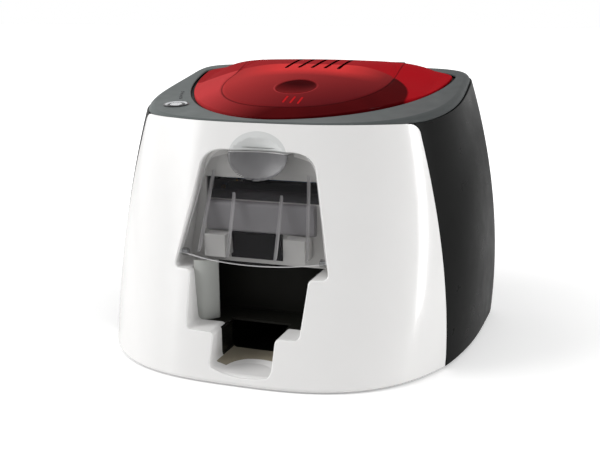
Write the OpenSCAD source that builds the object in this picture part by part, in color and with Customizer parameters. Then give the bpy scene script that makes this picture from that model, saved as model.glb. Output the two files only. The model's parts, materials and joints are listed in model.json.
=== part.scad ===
// Desk-top ID card printer: a rounded housing with a red top cover, a smoked feeder hood,
// an output bay with a thumb notch, and the card and ribbon drive inside.
// Millimetres. +Z is up, the front faces -Y, and the origin is the middle of the footprint.

/* [Body] */
// Width of the housing at its widest level
body_w = 353.6; // [344:1:364]
// Reach of the housing ahead of its widest plan line, at the base
body_front = 232; // [226:1:238]
// Reach of the housing behind its widest plan line
body_rear = 50; // [46:1:56]
// Place of the widest plan line behind the origin
wide_y = 91; // [89:1:93]
// Height over which the side and front profiles are set out
profile_h = 210; // [205:1:215]
// How far the front leans back over the profile height
front_lean = 91.2; // [86:1:95]
// How much of that lean eases off towards the top
front_ease = 25.1; // [21:1:30]
// How strongly the sides draw in above and below their widest level
side_bow = 38.7; // [30:1:45]
// Share of the profile height at which the sides are widest
side_widest = 0.245; // [0.2:0.01:0.3]
// Roundness of the plan at the front, 2 being an ellipse
front_power = 2.86; // [2.7:0.02:3]
// Squareness of the plan at the rear
rear_power = 6; // [5:0.5:7]
// Height of the top edge at the front
top_z = 215.7; // [212:0.5:219]
// Rise of the top edge per millimetre of depth, at the front
top_slope = 0.0484; // [0.03:0.005:0.07]
// Extra rise of the top edge towards the rear, per square millimetre
top_curve = 0.000441; // [0.0003:0.00005:0.0005]
// Wall of the moulded housing
wall = 2.5; // [2:0.1:3]
// Height of the housing's lower edge above the table
foot_h = 2; // [1.5:0.5:3]
// Radius of a rubber foot
foot_r = 10; // [7:1:13]
// Thickness of the base plate
base_t = 3; // [2:0.5:4]
// Place of the seam between the white front and the dark rear, at table level
seam_y = -45; // [-50:1:-40]
// How far the seam leans back per millimetre of height
seam_lean = 0.07; // [0.03:0.01:0.1]
// Radius of the white front's upper rear corner
seam_corner_r = 8; // [5:1:12]
// Rounding of the housing's lower edge
base_round = 3; // [2:0.5:4]

/* [Front openings] */
// Half width of the feeder recess at its foot
recess_foot = 71; // [69.5:0.5:72]
// Half width of the feeder recess at its shoulder
recess_shoulder = 53; // [52:0.5:55]
// Height of the feeder recess shoulder
recess_shoulder_z = 177; // [175:0.5:179]
// Height of the feeder recess top
recess_top_z = 191; // [190.5:0.5:193]
// Half width of the flat top of the feeder recess
recess_top = 33; // [31:0.5:36]
// Height of the ledge between the feeder recess and the output bay
ledge_z = 89; // [87:0.5:90]
// Half width of the output bay under the ledge
bay_top = 54.5; // [54:0.5:56]
// Half width of the output bay at its floor
bay_foot = 51.5; // [51:0.5:53]
// Height of the output bay floor
bay_floor_z = 41; // [38:0.5:43]
// Middle of the thumb notch across the bay
notch_x = 3; // [-3:0.5:5]
// Half width of the thumb notch
notch_half = 28; // [22:0.5:32]
// Height of the thumb notch floor
notch_z = 13; // [12:0.5:16]
// Radius of the scooped lip of the thumb notch
lip_r = 30; // [24:1:32]
// Depth of the scooped lip
lip_deep = 5; // [3:0.5:5]
// Place of the rear end of the feeder recess
recess_back_y = -70; // [-71:0.5:-69]
// Place of the rear end of the output bay's white walls
bay_back_y = -97; // [-99:0.5:-95]

/* [Hood] */
// Gap between the hood and the recess at each side
hood_gap = 3; // [2:0.25:4]
// Height of the hood's lower edge in the middle
hood_foot_z = 96; // [94:0.5:98]
// Rise of the hood's lower edge at its corners
hood_foot_rise = 5.3; // [3:0.5:7]
// Height of the hood's upper edge
hood_top_z = 189; // [187:0.5:190]
// Depth of the hood behind the housing's face at its foot
hood_inset_foot = 2.5; // [2:0.25:3.5]
// Depth of the hood behind the housing's face at its top
hood_inset_top = 8; // [7:0.25:9]
// Thickness of the smoked hood
hood_t = 2.2; // [1.8:0.1:2.6]
// Depth of the ribs inside the hood
hood_rib = 4; // [2:0.5:5]
// Distance of the inner ribs from the middle
hood_rib_x = 22; // [18:1:26]
// Radius of the hood's pivot pins
hood_pin_r = 2; // [1.5:0.25:2.5]
// Height of the hood's pivot
hood_pin_z = 101; // [100:0.5:103]
// Depth of the hood's pivot behind the housing's face
hood_pin_in = 6.7; // [6:0.1:7.5]
// Radius of the finger scoop
scoop_r = 24; // [21:0.5:26]
// Depth of the finger scoop
scoop_deep = 7; // [5:0.5:8]
// Height of the middle of the finger scoop
scoop_z = 183; // [181:0.5:185]

/* [Top cover] */
// Half width of the top cover
lid_half = 122; // [116:1:126]
// Place of the cover's widest line
lid_y = 60; // [57:1:63]
// Reach of the cover ahead of its widest line
lid_front = 122; // [118:1:124]
// Reach of the cover behind its widest line
lid_rear = 67; // [66:0.5:68]
// Crown of the cover above the housing's top edge
lid_crown = 18; // [15:0.5:21]
// Height of the cover's rear edge above the housing's top edge
lid_rear_edge = 9; // [8:0.5:11]
// Thickness of the cover
lid_t = 2.5; // [2:0.1:3]
// Gap round the cover
lid_gap = 1.2; // [0.8:0.1:1.6]
// Half width of the ring groove in the cover
groove_half = 84; // [80:1:88]
// Reach of the ring groove ahead of the cover's widest line
groove_front = 96; // [90:1:100]
// Depth of the ring groove
groove_deep = 1; // [0.6:0.1:1.4]
// Place of the finger dimple in the cover
dimple_y = 20; // [14:1:26]
// Radius of the finger dimple
dimple_r = 18; // [14:0.5:20]
// Depth of the finger dimple
dimple_deep = 4; // [3:0.25:5]
// Number of vent slots in the cover
vent_count = 5; // [3:1:7]
// Distance between vent slots
vent_pitch = 14; // [12:0.5:16]
// Width of a vent slot
vent_w = 3.5; // [2.5:0.25:4]
// Length of a vent slot
vent_len = 40; // [30:1:44]
// Radius of the cover's hinge pins
hinge_pin_r = 1.5; // [1.25:0.25:1.75]
// Radius of the hinge knuckles
knuckle_r = 3.2; // [3:0.1:3.5]
// Place of the cover's hinge axis
hinge_y = 130; // [129.5:0.25:131]
// Height of the cover's hinge axis
hinge_z = 247.8; // [247.4:0.1:248.6]

/* [Controls] */
// Distance of the control button from the cover's edge
button_in = 13.9; // [13:0.1:18]
// Place of the control button along the top
button_y = -17.3; // [-22:0.5:-14]
// Radius of the button's trim ring
button_ring_r = 12; // [11:0.25:13]
// Radius of the button cap
button_r = 8; // [7:0.25:9]
// Travel of the button
button_travel = 1.5; // [1:0.25:2]
// Height of the button cap above the rim
button_proud = 2.4; // [2:0.1:3]
// Radius of a status light
light_r = 1.8; // [1.4:0.1:2.2]
// Number of status lights
light_count = 4; // [3:1:5]

/* [Card drive] */
// Height of the card path
card_z = 151; // [150:0.5:152]
// Radius of the feed and entry rollers
roller_r = 12; // [10:0.5:12.5]
// Radius of the platen roller
platen_r = 8; // [7:0.25:9]
// Radius of the roller shafts
shaft_r = 4; // [3.5:0.25:4.25]
// Running clearance between a shaft and its bore
run_gap = 0.05; // [0.03:0.01:0.08]
// Distance between the side plates' middle planes and the middle
plate_x = 60; // [58.5:0.5:62]
// Thickness of the steel side plates
plate_t = 2; // [1.6:0.1:2.4]
// Place of the platen roller
platen_y = 20; // [18:0.5:22]
// Distance between roller axes
roller_step = 40; // [38:0.5:41]
// Tooth module of the gears
tooth_m = 1; // [0.95:0.05:1.05]
// Teeth on a roller gear
roller_teeth = 28; // [27:1:29]
// Teeth on an idler
idler_teeth = 16; // [15:1:18]
// Teeth on the compound wheel's small gear
compound_small = 36; // [34:1:38]
// Teeth on the compound wheel's large gear
compound_large = 56; // [52:1:58]
// Teeth on the motor pinion
pinion_teeth = 14; // [13:1:16]
// Width of a gear
gear_w = 4; // [3:0.25:4.5]
// Width of the square drive motor
motor_w = 42; // [38:1:43]
// Length of the drive motor
motor_len = 34; // [28:1:38]

/* [Ribbon drive] */
// Radius of the full supply roll
supply_r = 18; // [14:0.5:18.5]
// Radius of the take-up roll
take_up_r = 14; // [11:0.5:15]
// Radius of a spool core
core_r = 9; // [8:0.5:10]
// Half width of the ribbon
ribbon_half = 43; // [40:0.5:44]
// Height of the spool axes
spool_z = 178; // [177:0.5:179]
// Place of the supply spool
supply_y = -45; // [-45.5:0.5:-44]
// Place of the take-up spool
take_up_y = 70; // [69:0.5:71]
// Teeth on the take-up gear
take_up_teeth = 48; // [46:1:50]
// Teeth on the ribbon pinion
ribbon_pinion_teeth = 12; // [12:1:14]
// Radius of the ribbon motor
ribbon_motor_r = 14; // [12:0.5:14.5]
// Length of the ribbon motor
ribbon_motor_len = 30; // [24:1:34]

/* [Print head] */
// Half width of the print head
head_half = 42; // [40:0.5:43]
// Depth of the heat sink along the card path
sink_depth = 24; // [20:0.5:26]
// Height of the heat sink
sink_h = 30; // [24:1:34]
// Number of heat sink fins
fin_count = 9; // [5:1:12]

/* [Electronics] */
// Place of the main circuit board across the housing
board_x = 75; // [74:0.5:77]
// Thickness of a circuit board
board_t = 1.6; // [1.2:0.1:2]
// Width of the data socket
usb_w = 12; // [11:0.5:13]
// Height of the data socket
usb_h = 11; // [10:0.5:12]
// Width of the power inlet
inlet_w = 9; // [8.5:0.5:11]
// Height of the power inlet
inlet_h = 11; // [10.5:0.5:13]
// Radius of the power inlet's bore
inlet_bore = 3; // [2.5:0.25:3.25]
// Radius of the screws' shanks
screw_r = 1.5; // [1.25:0.25:1.75]

/* [Hidden] */
$fn = 48;

// Gap between pieces that are seated against each other
seat_gap = 0.2;
// Gap between pieces that move past each other
move_gap = 0.3;
// Overshoot of a cut beyond the face that it opens
eps = 0.5;
// A length that reaches past the whole printer
far = 400;

// Columns round the rear half and the front half of the plan
rear_cols = 20;
front_cols = 36;
// Angles of the plan's columns, anticlockwise from +X
col_angles = concat(
    [for (i = [0 : rear_cols - 1]) 180 * i / rear_cols],
    [for (i = [0 : front_cols - 1]) 180 + 180 * i / front_cols]
);

// Height of the housing's top edge at a place along the depth
top_y0 = wide_y - body_front + front_lean - front_ease;
function top(y) = top_z + top_slope * (y - top_y0) + top_curve * pow(y - top_y0, 2);

// Signed power, for superellipses
function spow(v, p) = sign(v) * pow(abs(v), p);
function clamp(v, lo, hi) = min(max(v, lo), hi);
function lerp(a, b, w) = a + (b - a) * w;

// Half width and front reach of the housing at a height
function level(z) = (z - foot_h) / profile_h;
function half_w(z) = body_w / 2 - side_bow * pow(level(z) - side_widest, 2);
function front_d(z) = body_front - front_lean * level(z) + front_ease * pow(level(z), 2);

// Point of the housing's plan at an angle and height, drawn in by an inset
function plan_pt(t, z, inset) =
    let(
        rear = sin(t) >= 0,
        n = rear ? rear_power : front_power,
        d = rear ? body_rear - inset : front_d(z) - inset
    )
    [(half_w(z) - inset) * spow(cos(t), 2 / n), wide_y + d * spow(sin(t), 2 / n)];

// Depth of the housing's face at a place across and a height
function face_y(x, z, inset) =
    let(a = half_w(z) - inset)
    wide_y - (front_d(z) - inset) * pow(1 - pow(min(abs(x) / a, 1), front_power), 1 / front_power);

// Point of the housing wall at a share of the height under the curved top edge
function wall_pt(t, share, inset, drop = 0) =
    let(
        y0 = plan_pt(t, top_z * share, inset)[1],
        z0 = lerp(foot_h, top(y0) - drop, share),
        y1 = plan_pt(t, z0, inset)[1],
        z1 = lerp(foot_h, top(y1) - drop, share),
        xy = plan_pt(t, z1, inset)
    )
    [xy[0], xy[1], z1];

// Rounding of the top edge: small at the front, larger along the sides and the rear
edge_small = 1.5;
edge_large = 6;
edge_blend = 60;
function smooth(v) = let(w = clamp(v, 0, 1)) w * w * (3 - 2 * w);
function edge_r(y) = lerp(edge_small, edge_large, smooth((y - top_y0) / edge_blend));
function rim_drop(t) = edge_r(wall_pt(t, 1, 0)[1]);

// Closed solid from rings of points, each ring joined to the next and the last to the first
module closed_rings(rings) {
    n = len(rings[0]);
    m = len(rings);
    polyhedron(
        points = [for (ring = rings) each ring],
        faces = [
            for (r = [0 : m - 1], i = [0 : n - 1])
                let(a = r * n + i, b = r * n + (i + 1) % n)
                let(c = ((r + 1) % m) * n + (i + 1) % n, d = ((r + 1) % m) * n + i)
                each [[a, d, c], [a, c, b]]
        ]
    );
}

// Solid from rings of points, closed by a fan at each end
module capped_rings(rings, first, last) {
    n = len(rings[0]);
    m = len(rings);
    polyhedron(
        points = concat([for (ring = rings) each ring], [first, last]),
        faces = concat(
            [
                for (r = [0 : m - 2], i = [0 : n - 1])
                    let(a = r * n + i, b = r * n + (i + 1) % n)
                    let(c = (r + 1) * n + (i + 1) % n, d = (r + 1) * n + i)
                    each [[a, d, c], [a, c, b]]
            ],
            [for (i = [0 : n - 1]) [m * n, i, (i + 1) % n]],
            [for (i = [0 : n - 1]) [m * n + 1, (m - 1) * n + (i + 1) % n, (m - 1) * n + i]]
        )
    );
}

// Solid between two sheets of points, each a list of rows from left to right, going up
module sheet_solid(front, back) {
    rows = len(front);
    cols = len(front[0]);
    loop = concat(
        [for (i = [0 : cols - 1]) [0, i]],
        [for (j = [1 : rows - 1]) [j, cols - 1]],
        [for (i = [1 : cols - 1]) [rows - 1, cols - 1 - i]],
        [for (j = [1 : rows - 2]) [rows - 1 - j, 0]]
    );
    k = rows * cols;
    polyhedron(
        points = concat([for (row = front) each row], [for (row = back) each row]),
        faces = concat(
            [
                for (j = [0 : rows - 2], i = [0 : cols - 2])
                    let(a = j * cols + i, b = a + 1, c = a + cols + 1, d = a + cols)
                    each [[a, c, b], [a, d, c], [k + a, k + b, k + c], [k + a, k + c, k + d]]
            ],
            [
                for (q = [0 : len(loop) - 1])
                    let(p0 = loop[q], p1 = loop[(q + 1) % len(loop)])
                    let(a = p0[0] * cols + p0[1], b = p1[0] * cols + p1[1])
                    each [[a, b, k + b], [a, k + b, k + a]]
            ]
        )
    );
}

// Runs what is drawn in the plane with its axis along +X, at a depth, height and start
module along_x(y, z, x0 = 0) {
    translate([x0, y, z])
        rotate([90, 0, 90])
            children();
}

// Runs what is drawn in width and height along the depth, from one place to another
module along_y(y0, y1) {
    translate([0, y1, 0])
        rotate([90, 0, 0])
            linear_extrude(y1 - y0)
                children();
}

module mirror_copy() {
    children();
    mirror([1, 0, 0])
        children();
}

module rod_x(y, z, r, x0, x1) {
    along_x(y, z, x0)
        cylinder(h = x1 - x0, r = r);
}

// Polygon drawn out by a distance on every side, with mitred corners; points anticlockwise
function grown(p, d) = [
    for (i = [0 : len(p) - 1])
        let(
            a = p[(i + len(p) - 1) % len(p)],
            b = p[i],
            c = p[(i + 1) % len(p)],
            u = (b - a) / norm(b - a),
            v = (c - b) / norm(c - b),
            nu = [u[1], -u[0]],
            nv = [v[1], -v[0]]
        )
        b + (nu + nv) * d / (1 + nu * nv)
];

// Shares of the height and insets of the housing wall's levels
wall_levels = [0.035, 0.12, side_widest, 0.37, 0.5, 0.63, 0.76, 0.88, 1];
foot_levels = [[0, base_round * 0.55], [0.006, base_round * 0.15]];

function wall_ring(share, inset) = [for (t = col_angles) wall_pt(t, share, inset, rim_drop(t))];

// The whole housing wall, before it is split at the seam
module housing_wall() {
    closed_rings(concat(
        [for (level = foot_levels) wall_ring(level[0], level[1])],
        [for (share = wall_levels) wall_ring(share, 0)],
        [for (i = [1 : len(wall_levels)]) wall_ring(wall_levels[len(wall_levels) - i], wall)],
        [wall_ring(0, wall + base_round * 0.2)]
    ));
}

// Solid space inside the housing wall's middle, which trims what the wall carries
module housing_space() {
    inset = wall / 2;
    capped_rings(
        concat(
            [wall_ring(0, inset + base_round * 0.55), wall_ring(0.006, inset + base_round * 0.15)],
            [for (share = wall_levels) wall_ring(share, inset)]
        ),
        [0, 0, foot_h],
        [0, wide_y, top(wide_y)]
    );
}

// Side view of the white front's space: all that lies ahead of the seam
seam_corner_z = top(seam_y) - seam_corner_r;
function seam_at(z) = seam_y + seam_lean * z;
module ahead_of_seam(shift) {
    corner_y = seam_at(seam_corner_z) - seam_corner_r;
    profile = concat(
        [[-far, -far], [seam_at(-far) + shift, -far]],
        [
            for (a = [0 : 15 : 90])
                [corner_y + shift + seam_corner_r * cos(a), seam_corner_z + shift + seam_corner_r * sin(a)]
        ],
        [[corner_y + shift, far], [-far, far]]
    );
    translate([-far, 0, 0])
        rotate([90, 0, 90])
            linear_extrude(2 * far)
                polygon(profile);
}

shoulder_steps = 5;
notch_left = notch_x - notch_half;
notch_right = notch_x + notch_half;
function shoulder(side) = [
    for (i = [0 : shoulder_steps])
        let(
            w = i / shoulder_steps,
            a = [recess_shoulder, recess_shoulder_z],
            b = [recess_shoulder - 3.5, recess_top_z - 1.5],
            c = [recess_top, recess_top_z],
            p = lerp(lerp(a, b, w), lerp(b, c, w), w)
        )
        [side * p[0], p[1]]
];
function reversed(list) = [for (i = [1 : len(list)]) list[len(list) - i]];
opening_outline = concat(
    [[notch_left, notch_z], [notch_right, notch_z], [notch_right, bay_floor_z], [bay_foot, bay_floor_z]],
    [[bay_top, ledge_z], [recess_foot, ledge_z]],
    shoulder(1),
    reversed(shoulder(-1)),
    [[-recess_foot, ledge_z], [-bay_top, ledge_z], [-bay_foot, bay_floor_z], [notch_left, bay_floor_z]]
);

// White walls that turn inwards round the openings
module opening_walls() {
    along_y(-far / 2, bay_back_y)
        difference() {
            polygon(grown(opening_outline, wall));
            polygon(opening_outline);
        }
    along_y(bay_back_y - eps, recess_back_y)
        difference() {
            polygon(grown(opening_outline, wall));
            polygon(opening_outline);
            translate([-far, -far])
                square([2 * far, far + ledge_z - wall]);
        }
}

// Dished finger scoop: a ball that cuts the face and a backing that carries its wall
scoop_ball = (scoop_r * scoop_r + scoop_deep * scoop_deep) / (2 * scoop_deep);
scoop_y = face_y(0, scoop_z, 0) + scoop_deep - scoop_ball;
module scoop_cut(extra = 0) {
    translate([0, scoop_y, scoop_z])
        sphere(r = scoop_ball + extra, $fn = 96);
}

// Scooped lip of the thumb notch: a shallow ball that leaves a round edge on the floor
lip_ball = (lip_r * lip_r + lip_deep * lip_deep) / (2 * lip_deep);
lip_x = 8;
lip_y = -130;
module lip_cut() {
    intersection() {
        translate([lip_x, lip_y, notch_z - lip_deep + lip_ball])
            sphere(r = lip_ball, $fn = 96);
        translate([notch_left, -far, 0])
            cube([2 * notch_half, 2 * far, notch_z + eps]);
    }
}

// Places of the screw bosses that join the shells to the base plate
front_boss = [105, -84];
rear_boss = [150, 104];
boss_r = 4.5;
boss_h = 22;
boss_web = 2.4;
module shell_boss(place) {
    reach = 36;
    out = place[1] < 0 ? -1 : 1;
    translate([place[0], place[1], foot_h + base_t + seat_gap])
        difference() {
            union() {
                cylinder(h = boss_h, r = boss_r);
                translate([-boss_web / 2, out < 0 ? -reach : 0, 0])
                    cube([boss_web, reach, boss_h]);
            }
            translate([0, 0, -eps])
                cylinder(h = boss_h, r = screw_r + run_gap);
        }
}

module front_shell() {
    color("whitesmoke")
    difference() {
        union() {
            difference() {
                intersection() {
                    housing_wall();
                    ahead_of_seam(0);
                }
                along_y(-far, recess_back_y + wall)
                    polygon(opening_outline);
            }
            intersection() {
                housing_space();
                union() {
                    opening_walls();
                    notch_floor();
                    scoop_backing();
                    mirror_copy()
                        shell_boss(front_boss);
                }
            }
        }
        scoop_cut();
        lip_cut();
        mirror_copy()
            rod_x(hood_pin_y, hood_pin_z, hood_pin_r + run_gap, recess_foot - 6, recess_foot + 6);
    }
}

// Solid floor under the thumb notch, thick enough for the scooped lip
module notch_floor() {
    translate([notch_left - wall, -far, notch_z - lip_deep - wall])
        cube([2 * (notch_half + wall), far + bay_back_y, lip_deep + wall]);
}

// Backing behind the scoop, above the recess
module scoop_backing() {
    intersection() {
        scoop_cut(wall);
        translate([-far, -far, recess_top_z - eps])
            cube([2 * far, 2 * far, far]);
    }
}

// Rear louvres, sockets and the seam side of the dark shell
louvre_count = 8;
louvre_w = 4;
louvre_h = 46;
louvre_pitch = 10;
louvre_z = 150;
usb_z = 40;
inlet_z = 72;
socket_gap = 0.4;
rear_y = wide_y + body_rear;
module rear_shell() {
    color("dimgray")
    difference() {
        union() {
            difference() {
                housing_wall();
                ahead_of_seam(move_gap);
            }
            intersection() {
                housing_space();
                mirror_copy()
                    shell_boss(rear_boss);
            }
        }
        for (i = [0 : louvre_count - 1])
            translate([(i - (louvre_count - 1) / 2) * louvre_pitch - louvre_w / 2, rear_y - 20, louvre_z])
                cube([louvre_w, 40, louvre_h]);
        translate([usb_x0 - socket_gap, rear_y - 20, usb_z - socket_gap])
            cube([usb_w + 2 * socket_gap, 40, usb_h + 2 * socket_gap]);
        translate([usb_x0 - socket_gap, rear_y - 20, inlet_z - socket_gap])
            cube([inlet_w + 2 * socket_gap, 40, inlet_h + 2 * socket_gap]);
    }
}

// Plan of the cover, drawn out or in by a distance
lid_front_power = 1.9;
lid_rear_power = 4;
function lid_pt(t, grow) =
    let(
        rear = sin(t) >= 0,
        n = rear ? lid_rear_power : lid_front_power,
        d = (rear ? lid_rear : lid_front) + grow
    )
    [(lid_half + grow) * spow(cos(t), 2 / n), lid_y + d * spow(sin(t), 2 / n)];

// Share of the way from the cover's centre to its edge at a place
function lid_share(x, y) =
    let(
        n = y >= lid_y ? lid_rear_power : lid_front_power,
        d = y >= lid_y ? lid_rear : lid_front
    )
    pow(pow(abs(x) / lid_half, n) + pow(abs(y - lid_y) / d, n), 1 / n);

// Height of the cover's upper face
function lid_z(x, y) =
    let(
        u = min(lid_share(x, y), 1),
        q = pow(clamp((y - lid_y) / lid_rear, 0, 1), 2),
        edge = lid_rear_edge * q
    )
    top(y) + edge + (lid_crown - edge) * (1 - pow(u, 2 + 3 * q));

// One ring of the cover at a share of its reach, at a depth under its upper face
function lid_ring(share, deep) = [
    for (t = col_angles)
        let(p = [0, lid_y] + (lid_pt(t, 0) - [0, lid_y]) * share)
        [p[0], p[1], lid_z(p[0], p[1]) - deep]
];

// Share of the reach at which the ring groove runs
function groove_share(t) =
    let(
        p = lid_pt(t, 0) - [0, lid_y],
        reach = 1 / sqrt(pow(p[0] / groove_half, 2) + pow(p[1] / groove_front, 2))
    )
    min(reach, 0.9);
groove_step = 0.012;
function groove_ring(step, deep) = [
    for (t = col_angles)
        let(p = [0, lid_y] + (lid_pt(t, 0) - [0, lid_y]) * (groove_share(t) + step))
        [p[0], p[1], lid_z(p[0], p[1]) - deep]
];
function inner_ring(part, deep) = [
    for (t = col_angles)
        let(p = [0, lid_y] + (lid_pt(t, 0) - [0, lid_y]) * groove_share(t) * part)
        [p[0], p[1], lid_z(p[0], p[1]) - deep]
];
function outer_ring(part, deep) = [
    for (t = col_angles)
        let(p = [0, lid_y] + (lid_pt(t, 0) - [0, lid_y]) * lerp(groove_share(t), 1, part))
        [p[0], p[1], lid_z(p[0], p[1]) - deep]
];

module rim_mesh() {
    ledge = 4;
    skin = wall;
    lip = 3;
    // Each row: share of the way to the cover, offset from the housing's face, height under the top
    function outer(t, off, drop) =
        let(
            e = rim_drop(t),
            p = wall_pt(t, 1, off * e, 0)
        )
        [p[0], p[1], top(p[1]) - drop * e];
    function wall_side(t, inset, drop) =
        let(p = wall_pt(t, 1, inset, 0))
        [p[0], p[1], top(p[1]) - drop];
    function inner(t, grow, drop) =
        let(p = lid_pt(t, lid_gap + grow))
        [p[0], p[1], top(p[1]) - drop];
    function middle(t) =
        let(
            a = wall_pt(t, 1, rim_drop(t), 0),
            b = lid_pt(t, lid_gap),
            x = (a[0] + b[0]) / 2,
            y = (a[1] + b[1]) / 2
        )
        [x, y, top(y)];
    closed_rings([
        [for (t = col_angles) let(p = outer(t, 0, 1)) [p[0], p[1], p[2] + seat_gap]],
        [for (t = col_angles) outer(t, 0.13, 0.5)],
        [for (t = col_angles) outer(t, 0.5, 0.13)],
        [for (t = col_angles) outer(t, 1, 0)],
        [for (t = col_angles) middle(t)],
        [for (t = col_angles) inner(t, 0.8, 0)],
        [for (t = col_angles) inner(t, 0, 0.8)],
        [for (t = col_angles) inner(t, 0, lid_t + move_gap)],
        [for (t = col_angles) inner(t, -ledge, lid_t + move_gap)],
        [for (t = col_angles) inner(t, -ledge, lid_t + move_gap + skin)],
        [for (t = col_angles) inner(t, skin, lid_t + move_gap + skin)],
        [for (t = col_angles) inner(t, skin, skin)],
        [for (t = col_angles) wall_side(t, 2 * wall, skin)],
        [for (t = col_angles) wall_side(t, 2 * wall, rim_drop(t) + lip)],
        [for (t = col_angles) wall_side(t, wall + move_gap, rim_drop(t) + lip)],
        [for (t = col_angles) wall_side(t, wall + move_gap, rim_drop(t) - seat_gap)]
    ]);
}

// Knuckles of the cover's hinge: the rim carries the outer ones, the cover the inner one
knuckle_x = 62;
knuckle_len = 10;
knuckle_gap = 0.4;
module knuckle(x0, len) {
    difference() {
        union() {
            rod_x(hinge_y, hinge_z, knuckle_r, x0, x0 + len);
            children();
        }
        rod_x(hinge_y, hinge_z, hinge_pin_r + run_gap, x0 - eps, x0 + len + eps);
    }
}

module rim_knuckles() {
    for (side = [-1, 1], end = [-1, 1]) {
        middle = side * knuckle_x + end * (knuckle_len + knuckle_gap);
        knuckle(middle - knuckle_len / 2, knuckle_len)
            translate([middle - knuckle_len / 2, hinge_y - knuckle_r, top(hinge_y) - 1.5])
                cube([knuckle_len, 2 * knuckle_r, hinge_z - top(hinge_y) + 1.5]);
    }
}

// Half width of the cover at a depth
function lid_edge_x(y) =
    let(n = y >= lid_y ? lid_rear_power : lid_front_power, d = y >= lid_y ? lid_rear : lid_front)
    lid_half * pow(1 - pow(abs(y - lid_y) / d, n), 1 / n);
button_x = -lid_edge_x(button_y) - button_in;
button_top_z = top(button_y) + button_proud;
light_pitch = 8;
light_first = 26;
light_in = 4.4;
function light_place(i) =
    let(y = button_y + light_first + light_pitch * i)
    [-lid_edge_x(y) - light_in, y];
board_post_r = 3;
control_board_z = top(button_y) - 20;
control_board_size = [46, 74];
rear_post_y = button_y + 56;
control_posts = [
    [button_x - 17, button_y - 7],
    [-lid_edge_x(rear_post_y) - lid_gap - board_post_r - 1.7, rear_post_y]
];
module top_rim() {
    color("gray")
    difference() {
        union() {
            rim_mesh();
            rim_knuckles();
            for (p = control_posts)
                translate([p[0], p[1], control_board_z + board_t])
                    cylinder(h = top(p[1]) - 1 - control_board_z - board_t, r = board_post_r);
        }
        translate([button_x, button_y, top(button_y) - 12])
            cylinder(h = 24, r = button_r + move_gap);
        for (i = [0 : light_count - 1])
            translate([light_place(i)[0], light_place(i)[1], top(button_y)])
                cylinder(h = 24, r = light_r + run_gap, center = true);
    }
}

module base_outline(inset) {
    polygon([for (t = col_angles) plan_pt(t, foot_h, inset)]);
}

foot_places = [[112, -62], [128, 112]];
module base_plate() {
    inset = wall + base_round * 0.55 + move_gap;
    color("dimgray")
    difference() {
        translate([0, 0, foot_h])
            linear_extrude(base_t)
                base_outline(inset);
        mirror_copy()
            for (p = [front_boss, rear_boss])
                translate([p[0], p[1], foot_h - eps])
                    cylinder(h = base_t + 2 * eps, r = screw_r + run_gap);
        for (p = chassis_screw_places())
            translate([p[0], p[1], foot_h - eps])
                cylinder(h = base_t + 2 * eps, r = screw_r + run_gap);
    }
}

module rubber_feet() {
    color("black")
    mirror_copy()
        for (p = foot_places)
            translate([p[0], p[1], 0])
                cylinder(h = foot_h, r1 = foot_r - 0.8, r2 = foot_r);
}

screw_head_r = 2.8;
screw_head_h = 1.6;
module base_screws() {
    color("silver")
    mirror_copy()
        for (p = [front_boss, rear_boss])
            translate([p[0], p[1], foot_h - screw_head_h]) {
                cylinder(h = screw_head_h, r = screw_head_r);
                cylinder(h = screw_head_h + base_t + 14, r = screw_r);
            }
}

// Moulded top cover with its ring groove, dimple, vents and hinge knuckles
dimple_ball = (dimple_r * dimple_r + dimple_deep * dimple_deep) / (2 * dimple_deep);
dimple_boss_t = 2;
edge_fillet = 1;
lid_skirt = 0.975;
liner_in = 0.52;
liner_mid = 0.7;
liner_out = 0.86;
function skirt_ring(share) = [
    for (t = col_angles)
        let(p = [0, lid_y] + (lid_pt(t, 0) - [0, lid_y]) * share)
        [p[0], p[1], min(top(p[1]), lid_z(p[0], p[1]) - 0.1) - lid_t]
];
module lid_mesh() {
    under = [0.35, liner_in, liner_mid, liner_out, lid_skirt];
    capped_rings(
        concat(
            [for (part = under) lid_ring(part, lid_t)],
            [skirt_ring(lid_skirt), skirt_ring(1)],
            [lid_ring(1, edge_fillet), lid_ring(0.991, 0.15)],
            [outer_ring(0.7, 0), outer_ring(0.35, 0), groove_ring(groove_step, 0), groove_ring(0, groove_deep)],
            [groove_ring(-groove_step, 0), inner_ring(0.8, 0), inner_ring(0.5, 0), inner_ring(0.25, 0)]
        ),
        [0, lid_y, lid_z(0, lid_y) - lid_t],
        [0, lid_y, lid_z(0, lid_y)]
    );
}

module lid_shell() {
    dimple_z = lid_z(0, dimple_y);
    bar_len = 16;
    bar_w = 1.6;
    bar_pitch = 6;
    slot = vent_w / 2;
    color("crimson")
    difference() {
        union() {
            lid_mesh();
            translate([0, dimple_y, dimple_z - dimple_deep - dimple_boss_t])
                cylinder(h = dimple_deep, r = dimple_r - 2);
            for (i = [-1 : 1])
                translate([i * bar_pitch - bar_w / 2, dimple_y - bar_len / 2, dimple_z - dimple_deep - 2 * dimple_boss_t])
                    cube([bar_w, bar_len, dimple_deep]);
            for (side = [-1, 1])
                lid_knuckle(side * knuckle_x);
        }
        translate([0, dimple_y, dimple_z - dimple_deep + dimple_ball])
            sphere(r = dimple_ball, $fn = 96);
        for (i = [0 : vent_count - 1])
            translate([(i - (vent_count - 1) / 2) * vent_pitch, lid_y + lid_rear - 10 - vent_len, hinge_z - 40])
                linear_extrude(80)
                    union() {
                        translate([-slot, slot])
                            square([vent_w, vent_len - vent_w]);
                        translate([0, slot])
                            circle(r = slot);
                        translate([0, vent_len - slot])
                            circle(r = slot);
                    }
    }
}

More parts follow.
